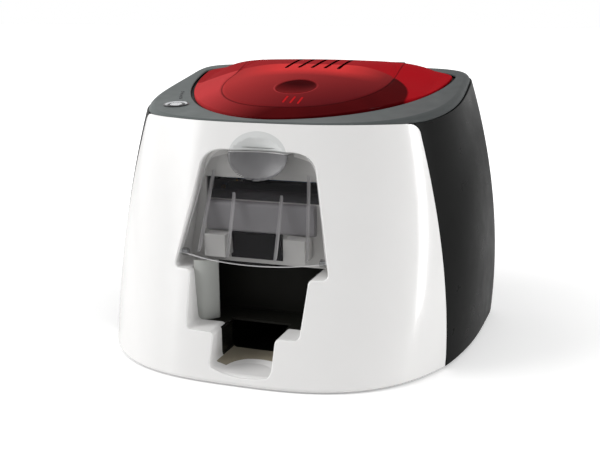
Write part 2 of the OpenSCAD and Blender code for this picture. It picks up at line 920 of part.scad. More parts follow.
module lid_knuckle(middle) {
    arm_h = 3;
    arm_len = hinge_y - lid_y - lid_rear + 3;
    knuckle(middle - knuckle_len / 2, knuckle_len)
        translate([middle - knuckle_len / 2, hinge_y - arm_len, hinge_z - arm_h / 2])
            cube([knuckle_len, arm_len, arm_h]);
}

// Opaque frame under the cover, open in the middle like the window above it
module lid_liner() {
    liner_t = 2;
    under = lid_t + 2 * move_gap;
    color("darkred")
    closed_rings([
        lid_ring(liner_out, under + liner_t),
        lid_ring(liner_out, under),
        lid_ring(liner_mid, under),
        lid_ring(liner_in, under),
        lid_ring(liner_in, under + liner_t),
        lid_ring(liner_mid, under + liner_t)
    ]);
}

module lid_hinge_pins() {
    span = 3 * knuckle_len + 2 * knuckle_gap;
    color("silver")
    for (side = [-1, 1])
        rod_x(hinge_y, hinge_z, hinge_pin_r, side * knuckle_x - span / 2, side * knuckle_x + span / 2);
}

// Button cap on a stem, with its trim ring, return spring and switch board
stem_r = 3;
cap_t = 3;
switch_h = 4;
spring_low = control_board_z + board_t;
spring_high = button_top_z - cap_t;
stem_len = spring_high - spring_low - switch_h - button_travel - move_gap;
module control_button() {
    color("silver")
    translate([button_x, button_y, 0]) {
        translate([0, 0, spring_high])
            cylinder(h = cap_t, r = button_r);
        translate([0, 0, spring_high - stem_len])
            cylinder(h = stem_len, r = stem_r);
    }
}

module button_ring() {
    ring_t = 1.4;
    color("slategray")
    translate([button_x, button_y, top(button_y + button_ring_r)])
        difference() {
            cylinder(h = ring_t, r = button_ring_r);
            translate([0, 0, -eps])
                cylinder(h = ring_t + 2 * eps, r = button_r + move_gap);
        }
}

// Helical return spring, its ends level with the board and the cap
spring_r = 5;
spring_wire = 0.5;
spring_turns = 6;
spring_steps = 12;
spring_sides = 6;
module button_spring() {
    n = spring_turns * spring_steps;
    z0 = spring_low + spring_wire + seat_gap;
    z1 = spring_high - spring_wire - seat_gap;
    rings = [
        for (k = [0 : n])
            let(a = 360 * k / spring_steps, z = lerp(z0, z1, k / n))
            [
                for (s = [0 : spring_sides - 1])
                    let(b = -360 * s / spring_sides, r = spring_r + spring_wire * cos(b))
                    [r * cos(a), r * sin(a), z + spring_wire * sin(b)]
            ]
    ];
    color("gainsboro")
    translate([button_x, button_y, 0])
        capped_rings(
            rings,
            [spring_r, 0, z0],
            [spring_r * cos(360 * spring_turns), spring_r * sin(360 * spring_turns), z1]
        );
}

module control_board() {
    color("darkgreen")
    translate([button_x - control_board_size[0] / 2, button_y - 13, control_board_z])
        cube([control_board_size[0], control_board_size[1], board_t]);
    color("black")
    translate([button_x, button_y, control_board_z + board_t])
        cylinder(h = switch_h, r = 2);
}

module status_lights() {
    color("lightgray")
    for (i = [0 : light_count - 1])
        let(p = light_place(i))
        translate([p[0], p[1], top(p[1]) - wall - 1])
            cylinder(h = wall + 1.3, r = light_r);
}

// Smoked hood: half width, edges and faces at a share of its height
hood_rows = 10;
hood_cols = 18;
hood_shoulder = 0.8;
function hood_half(w) =
    let(
        z = lerp(hood_foot_z, hood_top_z, w),
        side = lerp(
            recess_foot, recess_shoulder,
            (z - ledge_z) / (recess_shoulder_z - ledge_z)
        ) - hood_gap,
        v = clamp((w - hood_shoulder) / (1 - hood_shoulder), 0, 1)
    )
    lerp(recess_top, side, v <= 0 ? 1 : pow(1 - v * v, 0.5)) ;
function hood_inset(z) =
    lerp(hood_inset_foot, hood_inset_top, clamp((z - hood_foot_z) / (hood_top_z - hood_foot_z), 0, 1));
function hood_pt(v, w, deep) =
    let(
        x = v * hood_half(w),
        z = lerp(hood_foot_z, hood_top_z, w) + (1 - w) * hood_foot_rise * v * v
    )
    [x, face_y(x, z, hood_inset(z) + deep), z];
function hood_sheet(deep) = [
    for (j = [0 : hood_rows])
        let(w = j / hood_rows)
        [for (i = [0 : hood_cols]) hood_pt(2 * i / hood_cols - 1, w, deep)]
];

// One rib inside the hood, at a distance from the middle that may change with height
module hood_rib(x_foot, x_top, w_top) {
    rib_t = 2;
    rows = 6;
    function face(deep) = [
        for (j = [0 : rows])
            let(w = lerp(0.04, w_top, j / rows), x = lerp(x_foot, x_top, j / rows))
            let(z = lerp(hood_foot_z, hood_top_z, w) + (1 - w) * hood_foot_rise * pow(x / hood_half(w), 2))
            [
                for (side = [-1, 1])
                    [x + side * rib_t / 2, face_y(x, z, hood_inset(z) + deep), z]
            ]
    ];
    sheet_solid(face(hood_t - 0.4), face(hood_t + hood_rib));
}

hood_lug_x = 61;
hood_lug_t = 5.5;
hood_pin_y = face_y(hood_lug_x + hood_lug_t / 2, hood_pin_z, 0) + hood_pin_in;
module feeder_hood() {
    lug_r = hood_pin_r + 1.5;
    color("dimgray")
    difference() {
        union() {
            sheet_solid(hood_sheet(0), hood_sheet(hood_t));
            mirror_copy() {
                hood_rib(hood_rib_x, hood_rib_x, 0.62);
                hood_rib(hood_rib_x + 28, hood_rib_x + 22, 0.8);
                rod_x(hood_pin_y, hood_pin_z, lug_r, hood_lug_x, hood_lug_x + hood_lug_t);
            }
            intersection() {
                scoop_cut(hood_t);
                translate([-far, scoop_y, hood_foot_z])
                    cube([2 * far, far, scoop_z - hood_foot_z]);
                hood_space();
            }
        }
        scoop_cut();
        mirror_copy()
            rod_x(hood_pin_y, hood_pin_z, hood_pin_r + run_gap, hood_lug_x - 1, hood_lug_x + hood_lug_t + 6);
    }
}

// Space between the housing's face and the hood, which trims the bowl of the scoop
module hood_space() {
    flush = 0.6;
    face = [
        for (row = hood_sheet(0))
            [for (p = row) [p[0], face_y(p[0], p[2], flush), p[2]]]
    ];
    sheet_solid(face, hood_sheet(hood_t));
}

module hood_pins() {
    color("silver")
    mirror_copy()
        rod_x(hood_pin_y, hood_pin_z, hood_pin_r, hood_lug_x + 0.3, recess_foot + wall);
}

// Pale wall behind the hood with the card slot through it
panel_t = 3;
slot_low = 145;
slot_high = 165;
slot_half = 52.5;
guide_low = 118;
guide_half = 50;
module feeder_panel() {
    edge_gap = 0.4;
    gear_room = 0.5;
    color("gainsboro")
    difference() {
        along_y(recess_back_y + seat_gap, recess_back_y + seat_gap + panel_t)
            difference() {
                intersection() {
                    polygon(grown(opening_outline, wall - edge_gap));
                    translate([-far, ledge_z + eps])
                        square([2 * far, far]);
                }
                translate([-slot_half, slot_low])
                    square([2 * slot_half, slot_high - slot_low]);
                translate([-guide_half - seat_gap, guide_low - seat_gap])
                    square([2 * (guide_half + seat_gap), slot_low]);
            }
        rod_x(
            feed_at[0], feed_at[1], gear_r(roller_teeth) + tooth_m + gear_room,
            gear_x0 - gear_room, gear_x1 + gear_room
        );
    }
}

// Dark guide below the card slot and the pale stops under it
guide_y = -76.9;
guide_back_y = -68;
module card_guide() {
    depth = guide_back_y - guide_y;
    color("darkslategray")
    difference() {
        translate([-guide_half, guide_y, guide_low])
            cube([2 * guide_half, depth, slot_low - guide_low - seat_gap]);
        for (side = [-1, 1])
            translate([side * 22 - 8, guide_y - eps, slot_low - 9])
                cube([16, depth + 2 * eps, 20]);
    }
}

// Pale stops under the guide, between the hood's outer ribs
module card_stops() {
    stop_low = 98;
    stop_in = 27;
    stop_out = guide_half - 3.5;
    stop_y = -90.5;
    stop_high = guide_low - seat_gap;
    color("gainsboro")
    mirror_copy()
        translate([stop_in, stop_y, stop_low])
            cube([stop_out - stop_in, guide_y + 6 - stop_y, stop_high - stop_low]);
}

// Bin that catches finished cards, with the pale piece at its front corner
tray_wall = 1.8;
tray_half = bay_foot - 0.8;
tray_back_y = -52;
tray_floor_z = bay_floor_z - 0.4;
tray_front = bay_back_y + move_gap;
module output_tray() {
    notch_back = -83;
    leg_r = 3;
    color("dimgray")
    difference() {
        union() {
            translate([-tray_half - tray_wall, tray_front, tray_floor_z - tray_wall])
                cube([2 * (tray_half + tray_wall), tray_back_y - tray_front, tray_wall]);
            translate([-tray_half - tray_wall, tray_back_y - tray_wall, tray_floor_z - tray_wall])
                cube([2 * (tray_half + tray_wall), tray_wall, ledge_z - tray_floor_z - wall]);
            for (side = [0, 1])
                mirror([side, 0, 0])
                    translate([tray_half, tray_front + 4, tray_floor_z - tray_wall])
                        cube([tray_wall, tray_back_y - tray_front - 4, ledge_z - tray_floor_z - wall]);
            mirror_copy()
                for (y = [tray_front + 6, tray_back_y - 6])
                    translate([tray_half - 5, y, foot_h + base_t])
                        cylinder(h = tray_floor_z - tray_wall - foot_h - base_t, r = leg_r);
        }
        translate([notch_left, tray_front - eps, 0])
            cube([2 * notch_half, notch_back - tray_front + eps, far]);
    }
}

module bay_corner() {
    corner_w = 16;
    color("gainsboro")
    translate([-tray_half - 0.4, tray_front, tray_floor_z])
        cube([corner_w, tray_wall, ledge_z - tray_floor_z - wall - 1]);
}

// Involute gear, drawn in the plane: tooth points on one flank and the other, turn by turn
pressure = 20;
tooth_slack = 0.1;
tooth_high = 0.85;
tooth_low = 1.2;
function involute(a) = tan(a) * 180 / PI - a;
function gear_r(teeth) = teeth * tooth_m / 2;
function tooth_angle(teeth, r) =
    let(
        base = gear_r(teeth) * cos(pressure),
        at = max(r, base),
        half = 90 / teeth - tooth_slack / gear_r(teeth) * 180 / PI
    )
    half + involute(pressure) - involute(acos(base / at));
function gear_pts(teeth) =
    let(
        rp = gear_r(teeth),
        root = rp - tooth_low * tooth_m,
        tip = rp + tooth_high * tooth_m,
        base = max(root + 0.05, rp * cos(pressure) + 0.02),
        radii = [root, base, rp, tip]
    )
    [
        for (k = [0 : teeth - 1], side = [-1, 1], i = [0 : 3])
            let(
                r = radii[side < 0 ? i : 3 - i],
                a = 360 * k / teeth + side * tooth_angle(teeth, r)
            )
            r * [cos(a), sin(a)]
    ];

module gear(teeth, bore, width, hub_r = 0, hub_len = 0, phase = 0) {
    difference() {
        union() {
            rotate(phase)
                linear_extrude(width)
                    polygon(gear_pts(teeth));
            if (hub_len > 0)
                translate([0, 0, width - eps])
                    cylinder(h = hub_len + eps, r = hub_r);
        }
        translate([0, 0, -eps])
            cylinder(h = width + hub_len + 2 * eps, r = bore);
    }
}

// Angle at which a gear's teeth mesh with a neighbour of known phase, along a direction
function mesh_phase(n1, phase1, n2, dir) =
    let(part = (dir - phase1) * n1 / 360)
    dir + 180 - (0.5 - part) * 360 / n2;
function direction(a, b) = atan2(b[1] - a[1], b[0] - a[0]);

// Place of an idler that meshes with two gears, below the line between them
function idler_place(a, b, reach) =
    let(
        mid = (a + b) / 2,
        half = norm(b - a) / 2,
        u = (b - a) / norm(b - a)
    )
    mid - sqrt(reach * reach - half * half) * [-u[1], u[0]];

// Axes of the card drive, as depth and height
centre_slack = 0.05;
platen_at = [platen_y, card_z - platen_r];
entry_at = [platen_y - roller_step, card_z - roller_r];
feed_at = [platen_y - 2 * roller_step + 6, card_z - roller_r];
idler_reach = gear_r(roller_teeth) + gear_r(idler_teeth) + centre_slack;
entry_idler_at = idler_place(entry_at, platen_at, idler_reach);
feed_idler_at = idler_place(feed_at, entry_at, idler_reach);
compound_dir = -40;
compound_reach = gear_r(roller_teeth) + gear_r(compound_small) + centre_slack;
compound_at = platen_at + compound_reach * [cos(compound_dir), sin(compound_dir)];
motor_dir = -42;
motor_reach = gear_r(compound_large) + gear_r(pinion_teeth) + centre_slack;
motor_at = compound_at + motor_reach * [cos(motor_dir), sin(motor_dir)];

// Phases that bring every pair of gears into mesh at rest
entry_idler_phase = mesh_phase(roller_teeth, 0, idler_teeth, direction(platen_at, entry_idler_at));
entry_phase = mesh_phase(idler_teeth, entry_idler_phase, roller_teeth, direction(entry_idler_at, entry_at));
feed_idler_phase = mesh_phase(roller_teeth, entry_phase, idler_teeth, direction(entry_at, feed_idler_at));
feed_phase = mesh_phase(idler_teeth, feed_idler_phase, roller_teeth, direction(feed_idler_at, feed_at));
compound_phase = mesh_phase(roller_teeth, 0, compound_small, compound_dir);
pinion_phase = mesh_phase(compound_large, compound_phase, pinion_teeth, motor_dir);

// Planes of the gears outside the left plate
plate_in = plate_x - plate_t / 2;
plate_out = plate_x + plate_t / 2;
gear_gap = 2;
gear_x1 = -plate_out - gear_gap;
gear_x0 = gear_x1 - gear_w;
large_x1 = gear_x0 - 1;
large_x0 = large_x1 - gear_w;

bush_wall = 2.5;
bush_flange = 1;
bush_r = shaft_r + run_gap + bush_wall;
idler_pin_r = 2.5;
motor_boss_r = 11;
motor_shaft_r = 2.5;
ribbon_shaft_r = 1.5;
spindle_r = 5;
supply_at = [supply_y, spool_z];
take_up_at = [take_up_y, spool_z];
ribbon_motor_dir = -30;
ribbon_motor_reach = gear_r(take_up_teeth) + gear_r(ribbon_pinion_teeth) + centre_slack;
ribbon_motor_at = take_up_at + ribbon_motor_reach * [cos(ribbon_motor_dir), sin(ribbon_motor_dir)];

// Steel side plates with their feet turned outwards
plate_y0 = -62;
plate_y1 = 114;
plate_top = spool_z + 14;
plate_foot = foot_h + base_t;
flange_w = 14;
rod_r = 3;
rod_places = [[-40, 60], [96, 60], [-40, 100], [104, 130]];
function chassis_screw_places() = [
    for (side = [-1, 1], y = [plate_y0 + 14, plate_y1 - 14])
        [side * (plate_out + flange_w / 2), y]
];

module side_plate(side, holes) {
    x0 = side < 0 ? -plate_out : plate_in;
    difference() {
        union() {
            along_x(0, 0, x0)
                linear_extrude(plate_t)
                    polygon([
                        [plate_y0, plate_foot], [plate_y1, plate_foot], [plate_y1, plate_top - 16],
                        [plate_y1 - 16, plate_top], [plate_y0 + 10, plate_top], [plate_y0, plate_top - 10]
                    ]);
            for (y = [plate_y0 + 4, plate_y1 - 24])
                translate([side < 0 ? -plate_out - flange_w : plate_out - eps, y, plate_foot])
                    cube([flange_w + eps, 20, plate_t]);
        }
        for (hole = holes)
            rod_x(hole[0][0], hole[0][1], hole[1], x0 - eps, x0 + plate_t + eps);
        for (p = rod_places)
            rod_x(p[0], p[1], rod_r - 1 + run_gap, x0 - eps, x0 + plate_t + eps);
        for (p = chassis_screw_places())
            translate([p[0], p[1], plate_foot - eps])
                cylinder(h = plate_t + 2 * eps, r = screw_r + run_gap);
        for (y = [-20 : 30 : 100])
            rod_x(y, 30, 9, x0 - eps, x0 + plate_t + eps);
    }
}

bush_holes = [for (at = [platen_at, entry_at, feed_at]) [at, bush_r + run_gap]];
module chassis_left() {
    color("lightsteelblue")
    side_plate(-1, concat(
        bush_holes,
        [for (at = [entry_idler_at, feed_idler_at, compound_at]) [at, idler_pin_r + run_gap]],
        [[motor_at, motor_boss_r + run_gap]]
    ));
}

module chassis_right() {
    color("lightsteelblue")
    side_plate(1, concat(
        bush_holes,
        [[take_up_at, spindle_r + run_gap], [ribbon_motor_at, ribbon_motor_r / 2 + run_gap]],
        [for (p = standoff_places) [p, standoff_r - 1.5 + run_gap]]
    ));
}

// Rods that tie the plates together, turned down where they pass through
module cross_rods() {
    color("silver")
    for (p = rod_places) {
        rod_x(p[0], p[1], rod_r, -plate_in, plate_in);
        rod_x(p[0], p[1], rod_r - 1, -plate_out - 1, plate_out + 1);
    }
}

module shaft_bushes() {
    color("goldenrod")
    for (at = [platen_at, entry_at, feed_at], side = [0, 1])
        mirror([side, 0, 0])
            difference() {
                union() {
                    rod_x(at[0], at[1], bush_r, plate_in - bush_flange, plate_out);
                    rod_x(at[0], at[1], bush_r + 1.5, plate_in - bush_flange, plate_in);
                }
                rod_x(at[0], at[1], shaft_r + run_gap, plate_in - 2, plate_out + eps);
            }
}

module chassis_screws() {
    color("silver")
    for (p = chassis_screw_places())
        translate([p[0], p[1], foot_h + 0.4]) {
            cylinder(h = base_t + plate_t - 0.4, r = screw_r);
            translate([0, 0, base_t + plate_t - 0.4])
                cylinder(h = screw_head_h, r = screw_head_r);
        }
}

// A roller, its shaft and its gear share one axis
roller_half = 52;
module roller(at, r) {
    difference() {
        rod_x(at[0], at[1], r, -roller_half, roller_half);
        rod_x(at[0], at[1], shaft_r + run_gap / 2, -roller_half - eps, roller_half + eps);
    }
}

module drive_shaft(at) {
    rod_x(at[0], at[1], shaft_r, gear_x0, plate_out + 2);
}

module roller_gear(at, phase) {
    along_x(at[0], at[1], gear_x0)
        gear(roller_teeth, shaft_r + run_gap / 2, gear_w, shaft_r + 2.5, gear_gap - move_gap, phase);
}

module platen_roller() { color("dimgray") roller(platen_at, platen_r); }
module platen_shaft() { color("silver") drive_shaft(platen_at); }
module platen_gear() { color("ivory") roller_gear(platen_at, 0); }
module entry_roller() { color("darkorange") roller(entry_at, roller_r); }
module entry_shaft() { color("silver") drive_shaft(entry_at); }
module entry_gear() { color("ivory") roller_gear(entry_at, entry_phase); }
module feed_roller() { color("dimgray") roller(feed_at, roller_r); }
module feed_shaft() { color("silver") drive_shaft(feed_at); }
module feed_gear() { color("ivory") roller_gear(feed_at, feed_phase); }

module idler(at, phase) {
    along_x(at[0], at[1], gear_x0)
        gear(idler_teeth, idler_pin_r + run_gap, gear_w, idler_pin_r + 1.8, gear_gap - move_gap, phase);
}

module entry_idler() { color("ivory") idler(entry_idler_at, entry_idler_phase); }
module feed_idler() { color("ivory") idler(feed_idler_at, feed_idler_phase); }

module compound_gear() {
    joint_len = large_x1 - large_x0 - gear_w + gear_x0 - large_x1;
    color("ivory") {
        along_x(compound_at[0], compound_at[1], gear_x0)
            gear(compound_small, idler_pin_r + run_gap, gear_w, idler_pin_r + 3, gear_gap - move_gap, compound_phase);
        along_x(compound_at[0], compound_at[1], large_x0)
            gear(compound_large, idler_pin_r + run_gap, gear_w, idler_pin_r + 8, joint_len, compound_phase);
    }
}

// Fixed pins that the idlers and the compound gear turn on, with heads that keep them
module idler_pins() {
    head_t = 1.2;
    head_r = idler_pin_r + 1.2;
    color("silver") {
        for (at = [entry_idler_at, feed_idler_at]) {
            rod_x(at[0], at[1], idler_pin_r, gear_x0 - move_gap, -plate_in);
            rod_x(at[0], at[1], head_r, gear_x0 - move_gap - head_t, gear_x0 - move_gap);
        }
        rod_x(compound_at[0], compound_at[1], idler_pin_r, large_x0 - move_gap, -plate_in);
        rod_x(compound_at[0], compound_at[1], head_r, large_x0 - move_gap - head_t, large_x0 - move_gap);
    }
}

// Stepper motor on the inside of the left plate
module drive_motor() {
    chamfer = 4;
    half = motor_w / 2;
    color("darkgray")
    difference() {
        union() {
            along_x(motor_at[0], motor_at[1], -plate_in + seat_gap)
                linear_extrude(motor_len)
                    polygon([
                        [half - chamfer, -half], [half, -half + chamfer], [half, half - chamfer],
                        [half - chamfer, half], [-half + chamfer, half], [-half, half - chamfer],
                        [-half, -half + chamfer], [-half + chamfer, -half]
                    ]);
            rod_x(motor_at[0], motor_at[1], motor_boss_r, -plate_out, -plate_in + 1);
        }
        rod_x(motor_at[0], motor_at[1], motor_shaft_r + run_gap, -plate_out - eps, -plate_in + 16);
    }
}

module motor_shaft() {
    color("silver")
    rod_x(motor_at[0], motor_at[1], motor_shaft_r, large_x0 - 1, -plate_in + 15);
}

module motor_pinion() {
    color("goldenrod")
    along_x(motor_at[0], motor_at[1], large_x0)
        gear(pinion_teeth, motor_shaft_r + run_gap / 2, gear_w, phase = pinion_phase);
}

// Ribbon cartridge: two side plates, tie rods and seats on the chassis
spool_plate_x = 51;
spool_plate_t = 3;
journal_r = 6;
cartridge_seats = [[-6, 166], [44, 168]];
module ribbon_cartridge() {
    lobe_front = 20;
    lobe_rear = 16;
    beam = 16;
    beam_z = 158;
    tie_r = 2.5;
    ties = [[-58, 196], [47, 176]];
    color("gray")
    difference() {
        union() {
            for (side = [0, 1])
                mirror([side, 0, 0]) {
                    rod_x(supply_at[0], supply_at[1], lobe_front, spool_plate_x, spool_plate_x + spool_plate_t);
                    rod_x(take_up_at[0], take_up_at[1], lobe_rear, spool_plate_x, spool_plate_x + spool_plate_t);
                    translate([spool_plate_x, supply_y, beam_z])
                        cube([spool_plate_t, take_up_y - supply_y, beam]);
                    for (p = ties)
                        rod_x(p[0], p[1], tie_r + 3, spool_plate_x, spool_plate_x + spool_plate_t);
                    for (p = cartridge_seats)
                        rod_x(p[0], p[1], 3, spool_plate_x, plate_in - seat_gap);
                }
            for (p = ties)
                rod_x(p[0], p[1], tie_r, -spool_plate_x - eps, spool_plate_x + eps);
        }
        for (at = [supply_at, take_up_at])
            rod_x(at[0], at[1], journal_r + run_gap, -plate_in, plate_in);
    }
}

module spool_core(at) {
    rod_x(at[0], at[1], core_r, -spool_plate_x + move_gap, spool_plate_x - move_gap);
    rod_x(at[0], at[1], journal_r, -spool_plate_x - spool_plate_t, spool_plate_x + spool_plate_t);
}

module supply_core() { color("white") spool_core(supply_at); }

module ribbon_roll(at, r) {
    difference() {
        rod_x(at[0], at[1], r, -ribbon_half, ribbon_half);
        rod_x(at[0], at[1], core_r + run_gap, -ribbon_half - eps, ribbon_half + eps);
    }
}

module supply_ribbon_roll() { color("darkslateblue") ribbon_roll(supply_at, supply_r); }
module take_up_ribbon_roll() { color("darkslateblue") ribbon_roll(take_up_at, take_up_r); }

// The take-up core has a slot in its end, which the drive spindle's key enters
key_t = 2;
key_len = 3;
module take_up_core() {
    slot_x = spool_plate_x + spool_plate_t - key_len;
    color("white")
    difference() {
        spool_core(take_up_at);
        translate([slot_x, take_up_at[0] - journal_r - 1, take_up_at[1] - key_t / 2 - 0.1])
            cube([key_len + eps, 2 * journal_r + 2, key_t + 0.2]);
    }
}

module take_up_gear() {
    gear_x = plate_out + gear_gap;
    face_x = spool_plate_x + spool_plate_t + move_gap;
    color("ivory") {
        along_x(take_up_at[0], take_up_at[1], gear_x)
            gear(take_up_teeth, 1, gear_w);
        rod_x(take_up_at[0], take_up_at[1], spindle_r, face_x, gear_x + 1);
        rod_x(take_up_at[0], take_up_at[1], spindle_r + 2, plate_out + move_gap, gear_x + 1);
        translate([face_x - key_len + move_gap, take_up_at[0] - spindle_r + 0.5, take_up_at[1] - key_t / 2])
            cube([key_len, 2 * spindle_r - 1, key_t]);
    }
}

// Ribbon film from the supply roll, under the print head, to the take-up roll
film_t = 0.4;
film_gap = 0.4;
module ribbon_film() {
    low = card_z + film_gap;
    nip = 6;
    under_supply = spool_z - supply_r - film_gap - film_t;
    under_take_up = spool_z - take_up_r - film_gap - film_t;
    path = [[supply_y, under_supply], [platen_y - nip, low], [platen_y + nip, low], [take_up_y, under_take_up]];
    color("mediumpurple")
    along_x(0, 0, -ribbon_half)
        linear_extrude(2 * ribbon_half)
            polygon(concat(path, [for (i = [3 : -1 : 0]) path[i] + [0, film_t]]));
}

module ribbon_motor() {
    color("darkgray")
    difference() {
        union() {
            rod_x(ribbon_motor_at[0], ribbon_motor_at[1], ribbon_motor_r, plate_in - seat_gap - ribbon_motor_len, plate_in - seat_gap);
            rod_x(ribbon_motor_at[0], ribbon_motor_at[1], ribbon_motor_r / 2, plate_in - 1, plate_out);
        }
        rod_x(ribbon_motor_at[0], ribbon_motor_at[1], ribbon_shaft_r + run_gap, plate_in - 15, plate_out + eps);
    }
}

module ribbon_motor_shaft() {
    color("silver")
    rod_x(ribbon_motor_at[0], ribbon_motor_at[1], ribbon_shaft_r, plate_in - 14, plate_out + gear_gap + gear_w + 1);
}

module ribbon_pinion() {
    color("goldenrod")
    along_x(ribbon_motor_at[0], ribbon_motor_at[1], plate_out + gear_gap)
        gear(
            ribbon_pinion_teeth, ribbon_shaft_r + run_gap / 2, gear_w,
            phase = mesh_phase(take_up_teeth, 0, ribbon_pinion_teeth, ribbon_motor_dir)
        );
}

// Print head with its heat sink, in a carrier that hangs from the cover
head_low = card_z + film_gap + film_t + 0.4;
bead_h = 3;
bead_w = 6;
head_t = 4;
sink_low = head_low + bead_h + head_t;
carrier_gap = 0.2;
arm_t = 3;
module print_head() {
    color("peru") {
        translate([-head_half, platen_y - sink_depth / 2, head_low + bead_h])
            cube([2 * head_half, sink_depth, head_t]);
        translate([-head_half, platen_y - bead_w / 2, head_low])
            cube([2 * head_half, bead_w, bead_h]);
    }
}

module heat_sink() {
    base_h = 6;
    fin_w = 1.5;
    pitch = (2 * head_half - fin_w) / (fin_count - 1);
    color("lightgray") {
        translate([-head_half, platen_y - sink_depth / 2, sink_low])
            cube([2 * head_half, sink_depth, base_h]);
        for (i = [0 : fin_count - 1])
            translate([-head_half + i * pitch, platen_y - sink_depth / 2, sink_low])
                cube([fin_w, sink_depth, sink_h]);
    }
}

module head_carrier() {
    arm_low = sink_low - 2;
    yoke_low = sink_low + sink_h + carrier_gap;
    yoke_t = 4;
    arm_x = head_half + carrier_gap;
    post_r = 4;
    posts = [[30, platen_y - 8], [30, platen_y + 14]];
    color("slategray") {
        translate([-arm_x - arm_t, platen_y - sink_depth / 2 - 2, yoke_low])
            cube([2 * (arm_x + arm_t), sink_depth + 8, yoke_t]);
        mirror_copy() {
            translate([arm_x, platen_y - sink_depth / 2 - 2, arm_low])
                cube([arm_t, sink_depth + 8, yoke_low + yoke_t - arm_low]);
            for (p = posts)
                translate([p[0], p[1], yoke_low])
                    cylinder(h = post_top(p) - yoke_low, r = post_r);
        }
    }
}
function post_top(p) = lid_z(p[0] + 4, p[1] - 4) - lid_t - 2 * move_gap;

// Main circuit board on standoffs beside the right plate, with its sockets at the rear
board_y0 = -30;
board_y1 = rear_y - 10;
board_z0 = 16;
board_z1 = 116;
standoff_r = 3;
standoff_places = [[-20, 24], [-20, 108], [100, 24], [104, 104]];
usb_x0 = board_x + board_t;
socket_y0 = rear_y - 19;
module circuit_board() {
    chips = [[0, 60, 16], [40, 30, 12], [70, 80, 20]];
    color("darkgreen")
    difference() {
        translate([board_x, board_y0, board_z0])
            cube([board_t, board_y1 - board_y0, board_z1 - board_z0]);
        for (p = standoff_places)
            rod_x(p[0], p[1], screw_r + run_gap, board_x - eps, board_x + board_t + eps);
    }
    color("black")
    for (chip = chips)
        translate([board_x + board_t, chip[0], chip[1]])
            cube([2, chip[2], chip[2]]);
    color("goldenrod")
    for (p = standoff_places)
        difference() {
            union() {
                rod_x(p[0], p[1], standoff_r, plate_out, board_x);
                rod_x(p[0], p[1], standoff_r - 1.5, plate_in, plate_out + 1);
            }
            rod_x(p[0], p[1], screw_r - 0.4, board_x - 6, board_x + eps);
        }
}

module usb_socket() {
    color("silver")
    difference() {
        translate([usb_x0, socket_y0, usb_z])
            cube([usb_w, rear_y - 0.5 - socket_y0, usb_h]);
        translate([usb_x0 + 1.5, rear_y - 9, usb_z + 1.5])
            cube([usb_w - 3, 20, usb_h - 3]);
    }
    color("white")
    translate([usb_x0 + 4, rear_y - 9.5, usb_z + 3.5])
        cube([usb_w - 8, 7, usb_h - 7]);
}

module power_inlet() {
    middle = [usb_x0 + inlet_w / 2, inlet_z + inlet_h / 2];
    color("black")
    difference() {
        translate([usb_x0, socket_y0, inlet_z])
            cube([inlet_w, rear_y - 0.5 - socket_y0, inlet_h]);
        translate([middle[0], rear_y + 1, middle[1]])
            rotate([90, 0, 0])
                cylinder(h = 11, r = inlet_bore);
    }
    color("silver")
    translate([middle[0], rear_y - 2, middle[1]])
        rotate([90, 0, 0])
            cylinder(h = 9, r = 1);
}

front_shell();
rear_shell();
top_rim();
base_plate();
rubber_feet();
base_screws();
lid_shell();
lid_liner();
lid_hinge_pins();
head_carrier();
print_head();
heat_sink();
control_button();
button_ring();
button_spring();
control_board();
status_lights();
feeder_hood();
hood_pins();
feeder_panel();
card_guide();
card_stops();
output_tray();
bay_corner();
chassis_left();
chassis_right();
cross_rods();
shaft_bushes();
chassis_screws();
platen_roller();
platen_shaft();
platen_gear();
entry_roller();
entry_shaft();
entry_gear();
feed_roller();
feed_shaft();
feed_gear();
entry_idler();
feed_idler();
compound_gear();
idler_pins();
drive_motor();
motor_shaft();
motor_pinion();
ribbon_cartridge();
supply_core();
supply_ribbon_roll();
take_up_core();
take_up_ribbon_roll();
ribbon_film();
take_up_gear();
ribbon_motor();
ribbon_motor_shaft();
ribbon_pinion();
circuit_board();
usb_socket();
power_inlet();
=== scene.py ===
"""Looks of a desk-top ID card printer: glossy white front, dark rear, red cover and smoked hood.

Lengths in the shape functions are millimetres in the printer's own frame: +Z up, front towards -Y,
origin in the middle of the footprint. Meshes are made in metres.
"""

import json
import math

import bmesh
import bpy
import numpy as np
from mathutils import Matrix, Vector
from mathutils.geometry import delaunay_2d_cdt

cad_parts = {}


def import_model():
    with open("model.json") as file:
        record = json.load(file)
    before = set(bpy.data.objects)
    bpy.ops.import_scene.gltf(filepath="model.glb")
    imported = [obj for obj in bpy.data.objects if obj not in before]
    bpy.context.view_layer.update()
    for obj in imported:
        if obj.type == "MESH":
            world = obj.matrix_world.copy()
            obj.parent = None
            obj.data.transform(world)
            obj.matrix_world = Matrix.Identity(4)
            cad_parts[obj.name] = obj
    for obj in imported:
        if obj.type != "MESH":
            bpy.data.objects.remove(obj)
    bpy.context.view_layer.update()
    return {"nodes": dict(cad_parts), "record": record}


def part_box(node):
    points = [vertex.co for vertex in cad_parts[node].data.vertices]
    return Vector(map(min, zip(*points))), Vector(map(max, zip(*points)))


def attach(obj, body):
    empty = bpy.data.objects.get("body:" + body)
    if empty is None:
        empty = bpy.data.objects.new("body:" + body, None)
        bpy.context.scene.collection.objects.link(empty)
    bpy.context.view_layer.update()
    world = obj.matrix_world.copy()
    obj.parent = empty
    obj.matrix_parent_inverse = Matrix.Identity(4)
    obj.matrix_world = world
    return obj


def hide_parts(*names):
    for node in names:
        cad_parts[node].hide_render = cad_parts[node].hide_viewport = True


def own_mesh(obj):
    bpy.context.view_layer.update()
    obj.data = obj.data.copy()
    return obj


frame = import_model()
MM = 0.001

